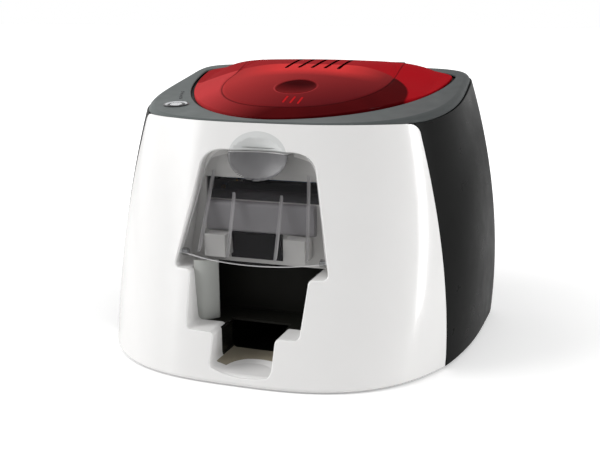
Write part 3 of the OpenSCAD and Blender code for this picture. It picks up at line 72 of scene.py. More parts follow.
# Housing
BODY_W = 353.54
BODY_FRONT = 231.94
BODY_REAR = 50.0
WIDE_Y = 91.0
PROFILE_H = 210.0
FRONT_LEAN = 91.2
FRONT_EASE = 25.1
SIDE_BOW = 38.7
SIDE_WIDEST = 0.245
FRONT_POWER = 2.86
REAR_POWER = 6.0
TOP_Z = 215.7
TOP_SLOPE = 0.0484
TOP_CURVE = 0.000441
TOP_Y0 = WIDE_Y - BODY_FRONT + FRONT_LEAN - FRONT_EASE
WALL = 2.5
FOOT_H = 2.0
SEAM_Y = -45.0
SEAM_LEAN = 0.07
SEAM_CORNER = 8.0
SEAM_GAP = 0.3
BASE_ROUND = 3.0
EDGE_SMALL = 1.5
EDGE_LARGE = 6.0
EDGE_BLEND = 60.0

# Openings in the front
RECESS_FOOT = 71.0
RECESS_SHOULDER = 53.0
RECESS_SHOULDER_Z = 177.0
RECESS_TOP_Z = 191.0
RECESS_TOP = 33.0
LEDGE_Z = 89.0
BAY_TOP = 54.5
BAY_FOOT = 51.5
BAY_FLOOR_Z = 41.0
NOTCH_X = 3.0
NOTCH_HALF = 28.0
NOTCH_Z = 13.0
LIP_X, LIP_Y, LIP_R, LIP_DEEP = 8.0, -130.0, 30.0, 5.0
RECESS_BACK = -70.0
BAY_BACK = -97.0
NOTCH_BACK = -83.0
NOTCH_DARK_Y = -107.0
SCOOP_R, SCOOP_DEEP, SCOOP_Z, SCOOP_WIDE = 20.5, 7.0, 187.0, 1.3

# Hood
HOOD_GAP = 3.0
HOOD_FOOT_Z = 96.0
HOOD_FOOT_RISE = 5.3
HOOD_TOP_Z = 189.0
HOOD_INSET_FOOT = 2.5
HOOD_INSET_TOP = 8.0
HOOD_T = 2.2
HOOD_SHOULDER = 0.8

# Cover
LID_HALF = 118.0
LID_TIP_X, LID_TIP_Y, LID_TIP_POWER, LID_END_POWER = 131.0, 108.0, 1.75, 2.6
LID_Y = 60.0
LID_FRONT = 122.0
LID_REAR = 67.0
LID_FRONT_POWER = 1.75
LID_REAR_POWER = 7.0
LID_CROWN = 17.8
LID_REAR_EDGE = 9.0
LID_T = 2.5
LID_GAP = 1.9
LID_TRIM = 1.6
GROOVE_HALF = 82.0
GROOVE_FRONT = 98.0
DIMPLE_X, DIMPLE_Y, DIMPLE_R, DIMPLE_DEEP = 4.0, 10.0, 19.5, 4.6
VENT_COUNT = 5
VENT_PITCH = 13.4
VENT_W = 3.5
VENT_LEN = 50.0
HINGE_Y, HINGE_Z = 130.0, 247.8

# Wall behind the hood, with the card slot, the guide and the dark block under it
PANEL_T, SLOT_LOW, SLOT_HIGH, SLOT_HALF = 3.0, 145.0, 165.0, 52.5
GUIDE_LOW, GUIDE_HALF, GUIDE_Y, GUIDE_BACK_Y = 118.0, 50.0, -76.9, -68.0
BLOCK_LEFT, BLOCK_RIGHT, BLOCK_LOW, BLOCK_Y = -29.0, 19.0, 93.0, -75.5
CORNER_RIGHT, CORNER_DEEP, CORNER_HIGH = -35.1, 1.8, 95.0

# Hinge of the cover
HINGE_X, KNUCKLE_LEN, KNUCKLE_GAP, KNUCKLE_R, PIN_BORE = 62.0, 10.0, 0.4, 3.2, 1.55

# Hood's ribs and lugs
HOOD_RIB_X, HOOD_RIB_T, HOOD_RIB = 22.0, 2.0, 4.0
HOOD_PIN = (-93.013, 101.0)
HOOD_LUG_X, HOOD_LUG_T, HOOD_LUG_R, HOOD_PIN_BORE = 61.0, 5.5, 3.5, 2.05

# Controls: these two solids keep their places, by the edge line of the cover's solid
EDGE_HALF, EDGE_FRONT, EDGE_POWER = 122.0, 122.0, 1.9
BUTTON_AT = (-105.473, -17.3)
BUTTON_BORE = 8.3
BUTTON_R, CAP_T, STEM_R, BUTTON_TRAVEL = 8.0, 3.0, 3.0, 1.5
LIGHT_COUNT, LIGHT_FIRST, LIGHT_PITCH, LIGHT_IN, LIGHT_BORE = 4, 26.0, 8.0, 4.4, 1.85


def smooth(v):
    """Soft step from 0 to 1."""
    w = np.clip(v, 0, 1)
    return w * w * (3 - 2 * w)


def lerp(a, b, w):
    return a + (b - a) * w


def top(y):
    """Height of the housing's top edge."""
    return TOP_Z + TOP_SLOPE * (y - TOP_Y0) + TOP_CURVE * (y - TOP_Y0) ** 2


def edge_r(y):
    """Rounding of the rim's outer edge."""
    return lerp(EDGE_SMALL, EDGE_LARGE, smooth((y - TOP_Y0) / EDGE_BLEND))


def level(z):
    return (z - FOOT_H) / PROFILE_H


def half_w(z):
    return BODY_W / 2 - SIDE_BOW * (level(z) - SIDE_WIDEST) ** 2


def front_d(z):
    return BODY_FRONT - FRONT_LEAN * level(z) + FRONT_EASE * level(z) ** 2


def plan(theta, z, inset):
    """Point of the housing's plan: theta is 0 at the front and pi at the rear."""
    s, c = np.sin(theta), np.cos(theta)
    n = np.where(c >= 0, FRONT_POWER, REAR_POWER)
    d = np.where(c >= 0, front_d(z) - inset, BODY_REAR - inset)
    rho = (np.abs(s) ** n + np.abs(c) ** n) ** (-1 / n)
    return (half_w(z) - inset) * rho * s, WIDE_Y - d * rho * c


def face_y(x, z, inset=0.0):
    """Depth of the front face at a place across and a height."""
    u = np.clip(np.abs(x) / (half_w(z) - inset), 0, 1)
    return WIDE_Y - (front_d(z) - inset) * (1 - u**FRONT_POWER) ** (1 / FRONT_POWER)


def face_x(y, z, inset=0.0):
    """Half width of the housing at a depth ahead of the widest line."""
    v = np.clip((WIDE_Y - y) / (front_d(z) - inset), 0, 1)
    return (half_w(z) - inset) * (1 - v**FRONT_POWER) ** (1 / FRONT_POWER)


def rear_y(x, z, inset=0.0):
    u = np.clip(np.abs(x) / (half_w(z) - inset), 0, 1)
    return WIDE_Y + (BODY_REAR - inset) * (1 - u**REAR_POWER) ** (1 / REAR_POWER)


def wall_surface(theta, share, inset=0.0, drop=None):
    """Points of the housing's face: share runs from the base to the edge of the rim."""
    y = np.full_like(theta, 0.0)
    for _ in range(6):
        high = top(y) - (edge_r(y) if drop is None else drop)
        z = FOOT_H + share * (high - FOOT_H)
        x, y = plan(theta, z, inset)
    return np.stack([x, y, z], axis=-1)


def wall_normal(theta, share):
    """Unit normals of the housing's face."""
    h = 1e-3
    du = wall_surface(theta + h, share) - wall_surface(theta - h, share)
    dv = wall_surface(theta, share + h) - wall_surface(theta, share - h)
    n = np.cross(du, dv)
    return n / np.linalg.norm(n, axis=-1, keepdims=True)


def wall_inverse(p):
    """theta and share of points near the housing's face."""
    x, y, z = p[..., 0], p[..., 1], p[..., 2]
    d = np.where(y <= WIDE_Y, front_d(z), BODY_REAR)
    theta = np.arctan2(x / half_w(z), (WIDE_Y - y) / d)
    share = (z - FOOT_H) / (top(y) - edge_r(y) - FOOT_H)
    return theta, share


def unit(v):
    return v / np.maximum(np.linalg.norm(v, axis=-1, keepdims=True), 1e-12)


class Shape:
    """Collects points, normals and faces of one mesh, in millimetres."""

    def __init__(self):
        self.points = []
        self.normals = []
        self.faces = []
        self.count = 0

    def add(self, points, normals):
        points = np.asarray(points, dtype=float).reshape(-1, 3)
        normals = np.broadcast_to(np.asarray(normals, dtype=float).reshape(-1, 3), points.shape)
        first = self.count
        self.points.append(points)
        self.normals.append(normals)
        self.count += len(points)
        return np.arange(first, self.count)

    def strip(self, a, b, closed=True):
        """Quads between two rows of points."""
        n = len(a)
        for i in range(n if closed else n - 1):
            j = (i + 1) % n
            self.faces.append((int(a[i]), int(a[j]), int(b[j]), int(b[i])))

    def rows(self, rows, closed=True, wrap=False):
        for a, b in zip(rows, rows[1:] + ([rows[0]] if wrap else [])):
            self.strip(a, b, closed)

    def fan(self, ring, centre):
        n = len(ring)
        for i in range(n):
            self.faces.append((int(ring[i]), int(ring[(i + 1) % n]), int(centre)))

    def make(self, name, materials, flip=False):
        mesh = bpy.data.meshes.new(name)
        points = np.concatenate(self.points) * MM
        faces = [f for f in self.faces if len(set(f)) == len(f)]
        mesh.from_pydata(points.tolist(), [], faces)
        bm = bmesh.new()
        bm.from_mesh(mesh)
        bmesh.ops.recalc_face_normals(bm, faces=bm.faces)
        if flip:
            bmesh.ops.reverse_faces(bm, faces=bm.faces)
        bm.to_mesh(mesh)
        bm.free()
        for polygon in mesh.polygons:
            polygon.use_smooth = True
        mesh.normals_split_custom_set_from_vertices(unit(np.concatenate(self.normals)).tolist())
        obj = bpy.data.objects.new(name, mesh)
        bpy.context.scene.collection.objects.link(obj)
        for material in materials:
            mesh.materials.append(material)
        return obj


def inside(points, loop):
    """Which points lie inside a closed loop, by counting crossings."""
    x, y = points[:, 0], points[:, 1]
    result = np.zeros(len(points), dtype=bool)
    for (x0, y0), (x1, y1) in zip(loop, np.roll(loop, -1, axis=0)):
        if y0 == y1:
            continue
        crosses = ((y0 > y) != (y1 > y)) & (x < (x1 - x0) * (y - y0) / (y1 - y0) + x0)
        result ^= crosses
    return result


def triangulate(loops, spacing, extra=None):
    """Triangles over a flat region: the first loop is its edge, the others are holes.

    Returns the points, the triangles and, for each loop, the places of its points.
    """
    outer, holes = loops[0], loops[1:]
    low, high = outer.min(axis=0), outer.max(axis=0)
    nx = max(int((high[0] - low[0]) / spacing), 2)
    ny = max(int((high[1] - low[1]) / (spacing * 0.9)), 2)
    gx, gy = np.meshgrid(np.linspace(low[0], high[0], nx), np.linspace(low[1], high[1], ny))
    gx[1::2] += (high[0] - low[0]) / nx / 2
    grid = np.stack([gx.ravel(), gy.ravel()], axis=1)
    if extra is not None:
        near = np.ones(len(grid), dtype=bool)
        for k in range(0, len(grid), 2000):
            gap = np.linalg.norm(grid[k : k + 2000, None] - extra[None], axis=2).min(axis=1)
            near[k : k + 2000] = gap > spacing * 0.45
        grid = np.concatenate([grid[near], extra])
    keep = inside(grid, outer)
    for hole in holes:
        keep &= ~inside(grid, hole)
    grid = grid[keep]
    rim = np.concatenate(loops)
    clear = np.ones(len(grid), dtype=bool)
    for k in range(0, len(grid), 2000):
        gap = np.linalg.norm(grid[k : k + 2000, None] - rim[None], axis=2).min(axis=1)
        clear[k : k + 2000] = gap > (spacing * 0.35 if extra is None else 0.7)
    grid = grid[clear]
    points = np.concatenate([rim, grid])
    edges = []
    start = 0
    for loop in loops:
        n = len(loop)
        edges += [(start + i, start + (i + 1) % n) for i in range(n)]
        start += n
    verts, _, faces, sources, _, _ = delaunay_2d_cdt([Vector(p) for p in points], edges, [], 0, 1e-5)
    flat = np.array([(v[0], v[1]) for v in verts])
    place = {}
    for k, source in enumerate(sources):
        for s in source:
            place[s] = k
    faces = np.array([f for f in faces if len(f) == 3])
    middle = flat[faces].mean(axis=1)
    keep = inside(middle, outer)
    for hole in holes:
        keep &= ~inside(middle, hole)
    marks = []
    start = 0
    for loop in loops:
        marks.append(np.array([place[start + i] for i in range(len(loop))]))
        start += len(loop)
    return flat, faces[keep], marks


def resample(points, step, closed=False):
    """Points spread evenly along a line of straight stretches, keeping its corners."""
    points = np.asarray(points, dtype=float)
    ends = np.roll(points, -1, axis=0) if closed else points[1:]
    out = []
    for a, b in zip(points, ends):
        n = max(int(round(np.linalg.norm(b - a) / step)), 1)
        out += [a + (b - a) * k / n for k in range(n)]
    if not closed:
        out.append(points[-1])
    return np.array(out)


def fillet(points, radii, steps=7):
    """Closed outline with each corner rounded to its own radius."""
    points = [np.asarray(p, dtype=float) for p in points]
    n = len(points)
    out = []
    for i in range(n):
        a, b, c = points[i - 1], points[i], points[(i + 1) % n]
        r = radii[i]
        u, v = unit(a - b), unit(c - b)
        half = math.acos(max(-1.0, min(1.0, float(u @ v)))) / 2
        if r <= 0 or half > math.pi / 2 - 0.01:
            out.append(b)
            continue
        reach = min(r / math.tan(half), np.linalg.norm(a - b) * 0.49, np.linalg.norm(c - b) * 0.49)
        r = reach * math.tan(half)
        centre = b + unit(u + v) * r / math.sin(half)
        start, end = b + u * reach - centre, b + v * reach - centre
        a0 = math.atan2(start[1], start[0])
        turn = (math.atan2(end[1], end[0]) - a0 + math.pi) % (2 * math.pi) - math.pi
        for k in range(steps + 1):
            angle = a0 + turn * k / steps
            out.append(centre + r * np.array([math.cos(angle), math.sin(angle)]))
    return np.array(out)


def finish_piece(obj, body, slot, *nodes):
    """Says what a piece rides on and hides the solids that it stands for; slot is not used."""
    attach(obj, body)
    if nodes:
        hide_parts(*nodes)
    return obj


def light_place(i):
    y = BUTTON_AT[1] + LIGHT_FIRST + LIGHT_PITCH * i
    share = (LID_Y - y) / EDGE_FRONT
    return -EDGE_HALF * (1 - share**EDGE_POWER) ** (1 / EDGE_POWER) - LIGHT_IN, y


def paint(obj, index, chosen):
    """Gives the faces whose middle point passes the test another of the piece's materials."""
    mesh = obj.data
    middle = np.array([p.center for p in mesh.polygons]) / MM
    for polygon, hit in zip(mesh.polygons, chosen(middle)):
        if hit:
            polygon.material_index = index


# Flat domain used to triangulate the curved faces: roughly millimetres each way
DOMAIN = np.array([150.0, 215.0])


def scoop_ball():
    radius = (SCOOP_R**2 + SCOOP_DEEP**2) / (2 * SCOOP_DEEP)
    y = float(face_y(np.array(0.0), np.array(SCOOP_Z))) + SCOOP_DEEP - radius
    return np.array([0.0, y, SCOOP_Z]), radius


def lip_ball():
    radius = (LIP_R**2 + LIP_DEEP**2) / (2 * LIP_DEEP)
    return np.array([LIP_X, LIP_Y, NOTCH_Z - LIP_DEEP + radius]), radius


def lip_drop(x, y):
    """How far the scooped lip lies under the notch floor."""
    centre, radius = lip_ball()
    reach = (x - centre[0]) ** 2 + (y - centre[1]) ** 2
    low = centre[2] - np.sqrt(np.maximum(radius**2 - reach, 0))
    return np.maximum(NOTCH_Z - low, 0)


def press_scoop(points, normals, extra=0.0):
    """Presses the finger scoop's ball into points of the front face."""
    centre, radius = scoop_ball()
    radius = radius + extra
    points, normals = points.copy(), normals.copy()
    across = (points[:, 0] / SCOOP_WIDE) ** 2 + (points[:, 2] - centre[2]) ** 2
    hit = (across < radius**2 * 0.9) & (points[:, 1] < -40) & (points[:, 2] > 120)
    y = centre[1] + np.sqrt(np.maximum(radius**2 - across, 0))
    hit &= y > points[:, 1]
    points[hit, 1] = y[hit]
    normals[hit] = unit((centre - points[hit]) / [SCOOP_WIDE**2, 1, 1])
    return points, normals


def seam_line(shift, steps=70):
    """The seam on the right side, from the base to the rounded corner at the top."""
    corner_y = SEAM_Y + SEAM_LEAN * 200 - SEAM_CORNER
    high = top(corner_y) - edge_r(corner_y)
    low_z = high - SEAM_CORNER
    z = np.linspace(FOOT_H, low_z, steps)
    y = SEAM_Y + SEAM_LEAN * z + shift
    angle = np.linspace(0, math.pi / 2, 10)[1:]
    end_y = SEAM_Y + SEAM_LEAN * low_z - SEAM_CORNER
    arc_y = end_y + SEAM_CORNER * np.cos(angle) + shift
    arc_high = top(arc_y) - edge_r(arc_y)
    arc_z = np.minimum(low_z + SEAM_CORNER * np.sin(angle) + shift, arc_high)
    arc_z[-1] = arc_high[-1]
    y = np.concatenate([y, arc_y])
    z = np.concatenate([z, arc_z])
    return np.stack([face_x(y, z), y, z], axis=1)


def domain(points):
    theta, share = wall_inverse(points)
    return np.stack([theta, share], axis=1) * DOMAIN


def edge_loops(points, normals, radius, steps=4):
    """Rows of points that round a free edge: the material lies to the left of the loop."""
    tangent = unit(np.roll(points, -1, axis=0) - np.roll(points, 1, axis=0))
    inward = unit(np.cross(normals, tangent))
    rows = []
    for k in range(steps + 1):
        a = math.pi / 2 * k / steps
        where = points + inward * radius * (1 - math.sin(a)) - normals * radius * (1 - math.cos(a))
        rows.append((where, unit(normals * math.cos(a) - inward * math.sin(a))))
    return rows, inward


def opening_outline():
    """Outline of the recess, the bay and the notch across and up, clockwise from the notch floor."""
    left, right = NOTCH_X - NOTCH_HALF, NOTCH_X + NOTCH_HALF
    share = np.linspace(0, 1, 9)
    a, b, c = (
        np.array(p) for p in (
            (RECESS_SHOULDER, RECESS_SHOULDER_Z), (RECESS_SHOULDER - 3.5, RECESS_TOP_Z - 1.5), (RECESS_TOP, RECESS_TOP_Z)
        )
    )
    bend = [lerp(lerp(a, b, w), lerp(b, c, w), w) for w in share]
    corners = [
        (left, NOTCH_Z, 4), (left, BAY_FLOOR_Z, 4), (-BAY_FOOT, BAY_FLOOR_Z, 4), (-BAY_TOP, LEDGE_Z, 4),
        (-RECESS_FOOT, LEDGE_Z, 4),
    ]
    corners += [(-p[0], p[1], 0) for p in bend] + [(p[0], p[1], 0) for p in bend[::-1]]
    corners += [
        (RECESS_FOOT, LEDGE_Z, 4), (BAY_TOP, LEDGE_Z, 4), (BAY_FOOT, BAY_FLOOR_Z, 4), (right, BAY_FLOOR_Z, 4),
        (right, NOTCH_Z, 4),
    ]
    line = fillet([c[:2] for c in corners], [c[2] for c in corners])
    return resample(line, 1.6, closed=True)


def opening_on_face():
    """The opening's outline laid on the front face, with the lip and the scoop pressed in."""
    line = opening_outline()
    x, z = line[:, 0], line[:, 1]
    weight = np.clip((NOTCH_Z + 3 - z) / 3, 0, 1)
    y = face_y(x, z)
    z = z - weight * lip_drop(x, y)
    points = np.stack([x, face_y(x, z), z], axis=1)
    theta, share = wall_inverse(points)
    normals = wall_normal(theta, share)
    return points, normals, weight


def front_shell(material):
    shape = Shape()
    seam = seam_line(0.0)
    seam_theta, _ = wall_inverse(seam)
    right = seam
    left = (seam * [-1, 1, 1])[::-1]
    spread = np.linspace(0, 1, 90)[1:-1]
    low_theta = lerp(-seam_theta[0], seam_theta[0], spread)
    high_theta = lerp(seam_theta[-1], -seam_theta[-1], spread)
    low = wall_surface(low_theta, np.zeros_like(low_theta))
    high = wall_surface(high_theta, np.ones_like(high_theta))
    border = np.concatenate([low, right, high, left])
    theta, share = wall_inverse(border)
    border_normals = wall_normal(theta, share)
    soft = np.concatenate([
        np.full(len(low), BASE_ROUND), np.full(len(right), 0.6), np.full(len(high), 0.5), np.full(len(left), 0.6),
    ])
    soft = np.convolve(np.r_[soft[-3:], soft, soft[:3]], np.ones(7) / 7, "valid")[:, None]
    border_rows, _ = edge_loops(border, border_normals, soft)
    hole, hole_normals, floor = opening_on_face()
    hole_rows, hole_inward = edge_loops(hole, hole_normals, 1.3)

    loops = [domain(border_rows[0][0]), domain(hole_rows[0][0])]
    centre, radius = scoop_ball()
    turn = np.linspace(0, 2 * math.pi, 90, endpoint=False)
    extra = []
    for part in np.linspace(0.1, 1.25, 22):
        reach = SCOOP_R * part
        x = SCOOP_WIDE * reach * np.cos(turn)
        z = centre[2] + reach * np.sin(turn)
        extra.append(np.stack([x, face_y(x, z), z], axis=1))
    extra = np.concatenate(extra)
    extra = extra[extra[:, 2] > RECESS_TOP_Z - 2]
    flat, faces, marks = triangulate(loops, 4.5, domain(extra))
    theta, share = flat[:, 0] / DOMAIN[0], flat[:, 1] / DOMAIN[1]
    normals = wall_normal(theta, share)
    face = wall_surface(theta, share)
    back = face - normals * WALL
    face, face_normals = press_scoop(face, normals)
    back, _ = press_scoop(back, normals, WALL)
    outer = shape.add(face, face_normals)
    inner = shape.add(back, -normals)
    for f in faces:
        shape.faces.append(tuple(int(outer[i]) for i in f))
        shape.faces.append(tuple(int(inner[i]) for i in f[::-1]))

    rows = [outer[marks[0]]]
    for where, way in border_rows[1:]:
        rows.append(shape.add(where, way))
    rows.append(shape.add(border - border_normals * WALL, border_rows[-1][1]))
    rows.append(inner[marks[0]])
    shape.rows(rows)

    rows = [outer[marks[1]]]
    for where, way in hole_rows[1:]:
        where, _ = press_scoop(where, way)
        rows.append(shape.add(where, way))
    last = press_scoop(hole_rows[-1][0], hole_rows[-1][1])[0]
    way = hole_rows[-1][1].copy()
    way[:, 1] = 0
    way = unit(way)
    base = hole[:, 2] + floor * lip_drop(hole[:, 0], face_y(hole[:, 0], hole[:, 2]))
    end = np.where(base < LEDGE_Z - 2, BAY_BACK, RECESS_BACK)
    end = np.where(base < BAY_FLOOR_Z - 3, NOTCH_BACK, end)
    steps = [0.02, 0.06, 0.12, 0.2, 0.3, 0.4, 0.5, 0.6, 0.8, 1.0]
    for part in steps:
        y = lerp(last[:, 1], end, part)
        z = base - floor * lip_drop(last[:, 0], y)
        place = np.stack([last[:, 0], y, z], axis=1)
        normal = way.copy()
        slope = floor * (lip_drop(last[:, 0], y + 0.5) - lip_drop(last[:, 0], y - 0.5))
        normal[:, 1] -= -slope * floor
        rows.append(shape.add(place, unit(normal)))
    shape.rows(rows)
    out = hole_inward.copy()
    out[:, 1] = 0
    out = unit(out)
    rim_in = shape.add(np.stack([last[:, 0], end, base], axis=1), [0, 1, 0])
    rim_out = shape.add(np.stack([last[:, 0], end, base], axis=1) + out * WALL, [0, 1, 0])
    side_back = shape.add(np.stack([last[:, 0], end, base], axis=1) + out * WALL, out)
    front = np.stack([hole[:, 0], hole[:, 1], base], axis=1) + out * WALL
    front[:, 1] = face_y(front[:, 0], front[:, 2]) + WALL
    side_front = shape.add(front, out)
    shape.rows([rim_in, rim_out])
    shape.rows([side_back, side_front])
    shape.rows([side_front, inner[marks[1]]])
    obj = shape.make("front_shell_skin", [material])
    return finish_piece(obj, "housing", "housing_white", "front_shell")


def rounded_box(cx, cz, w, h, r, step=2.0):
    """Closed clockwise outline of a rounded rectangle across and up."""
    half_w_, half_h = w / 2, h / 2
    corners = [(cx - half_w_, cz - half_h), (cx - half_w_, cz + half_h), (cx + half_w_, cz + half_h), (cx + half_w_, cz - half_h)]
    return resample(fillet(corners, [r] * 4, 5), step, closed=True)


LOUVRE_COUNT, LOUVRE_W, LOUVRE_H, LOUVRE_PITCH, LOUVRE_Z = 8, 4.0, 46.0, 10.0, 150.0
SOCKET_X = 76.6
USB_BOX = (SOCKET_X + 6, 45.5, 12.8, 11.8)
INLET_BOX = (SOCKET_X + 4.5, 77.5, 9.8, 11.8)


def rear_domain(points):
    theta, share = wall_inverse(points)
    theta = np.where(theta < 0, theta + 2 * math.pi, theta)
    return np.stack([theta, share], axis=1) * DOMAIN


def rear_shell(material):
    shape = Shape()
    seam = seam_line(SEAM_GAP)
    seam_theta, _ = wall_inverse(seam)
    near = seam[::-1]
    far = seam * [-1, 1, 1]
    spread = np.linspace(0, 1, 130)[1:-1]
    low_theta = lerp(seam_theta[0], 2 * math.pi - seam_theta[0], spread)
    high_theta = lerp(2 * math.pi - seam_theta[-1], seam_theta[-1], spread)
    low = wall_surface(low_theta, np.zeros_like(low_theta))
    high = wall_surface(high_theta, np.ones_like(high_theta))
    border = np.concatenate([low, far, high, near])
    theta, share = wall_inverse(border)
    border_normals = wall_normal(theta, share)
    soft = np.concatenate([
        np.full(len(low), BASE_ROUND), np.full(len(far), 0.6), np.full(len(high), 0.4), np.full(len(near), 0.6),
    ])
    soft = np.convolve(np.r_[soft[-3:], soft, soft[:3]], np.ones(7) / 7, "valid")[:, None]
    border_rows, _ = edge_loops(border, border_normals, soft)
    holes = []
    outlines = [
        rounded_box((i - (LOUVRE_COUNT - 1) / 2) * LOUVRE_PITCH, LOUVRE_Z + LOUVRE_H / 2, LOUVRE_W, LOUVRE_H, 1.9)
        for i in range(LOUVRE_COUNT)
    ]
    outlines += [rounded_box(*USB_BOX, 1.0), rounded_box(*INLET_BOX, 1.0)]
    for line in outlines:
        x, z = line[::-1, 0], line[::-1, 1]
        points = np.stack([x, rear_y(x, z), z], axis=1)
        theta, share = wall_inverse(points)
        normals = wall_normal(theta, share)
        holes.append((points, normals, edge_loops(points, normals, 0.5, 3)[0]))
    loops = [rear_domain(border_rows[0][0])] + [rear_domain(rows[0][0]) for _, _, rows in holes]
    flat, faces, marks = triangulate(loops, 5.5)
    theta, share = flat[:, 0] / DOMAIN[0], flat[:, 1] / DOMAIN[1]
    normals = wall_normal(theta, share)
    face = wall_surface(theta, share)
    outer = shape.add(face, normals)
    inner = shape.add(face - normals * WALL, -normals)
    for f in faces:
        shape.faces.append(tuple(int(outer[i]) for i in f))
        shape.faces.append(tuple(int(inner[i]) for i in f[::-1]))
    edges = [(border, border_normals, border_rows)] + holes
    for mark, (points, way, rows_at) in zip(marks, edges):
        rows = [outer[mark]] + [shape.add(where, turn) for where, turn in rows_at[1:]]
        rows.append(shape.add(points - way * WALL, rows_at[-1][1]))
        rows.append(inner[mark])
        shape.rows(rows)
    obj = shape.make("rear_shell_skin", [material])
    return finish_piece(obj, "housing", "housing_dark", "rear_shell")


def polar_lid(turn, grow=0.0):
    """Plan of the cover by true direction from its centre: it widens as far as its rear corners."""
    s, c = np.sin(turn), np.cos(turn)
    near, far = np.full(np.shape(turn), 20.0), np.full(np.shape(turn), 200.0)
    for _ in range(40):
        rho = (near + far) / 2
        x, y = rho * c, LID_Y + rho * s
        rear = y >= LID_TIP_Y
        n = np.where(rear, LID_END_POWER, LID_TIP_POWER)
        depth = np.where(rear, LID_Y + LID_REAR - LID_TIP_Y, LID_TIP_Y - LID_Y + LID_FRONT) + grow
        reach = (np.abs(x) / (LID_TIP_X + grow)) ** n + (np.abs(y - LID_TIP_Y) / depth) ** n
        near, far = np.where(reach < 1, rho, near), np.where(reach < 1, far, rho)
    return rho * c, LID_Y + rho * s


def edge_share(x, y):
    """How far a place is from the cover's centre: 1 on its edge."""
    turn = np.arctan2(y - LID_Y, x)
    x_edge, y_edge = polar_lid(turn)
    return np.hypot(x, y - LID_Y) / np.hypot(x_edge, y_edge - LID_Y)


def lid_share(x, y):
    n = np.where(y >= LID_Y, LID_REAR_POWER, LID_FRONT_POWER)
    d = np.where(y >= LID_Y, LID_REAR, LID_FRONT)
    return ((np.abs(x) / LID_HALF) ** n + (np.abs(y - LID_Y) / d) ** n) ** (1 / n)


def lid_z(x, y):
    """Height of the cover's crown."""
    u = np.minimum(lid_share(x, y), 1)
    q = np.clip((y - LID_Y) / LID_REAR, 0, 1) ** 2
    edge = LID_REAR_EDGE * q * np.maximum(1 - (x / LID_TIP_X) ** 2, 0)
    return top(y) + edge + (LID_CROWN - edge) * (1 - u ** (2 + 3 * q))


def circle_loop(x, y, r, count):
    a = np.linspace(0, 2 * math.pi, count, endpoint=False)
    return np.stack([x + r * np.cos(a), y + r * np.sin(a)], axis=1)


def top_normal(points):
    h = 0.05
    slope = (top(points[:, 1] + h) - top(points[:, 1] - h)) / (2 * h)
    return unit(np.stack([np.zeros(len(points)), -slope, np.ones(len(points))], axis=1))


def rim_sheet(shape, loops, drop, sign, spacing):
    """Patch of the rim's upper or lower face with its holes."""
    flat, faces, marks = triangulate(loops, spacing)
    z = top(flat[:, 1]) - drop
    points = np.column_stack([flat, z])
    ids = shape.add(points, top_normal(points) * sign)
    for f in faces:
        shape.faces.append(tuple(int(ids[i]) for i in (f if sign > 0 else f[::-1])))
    return ids, marks


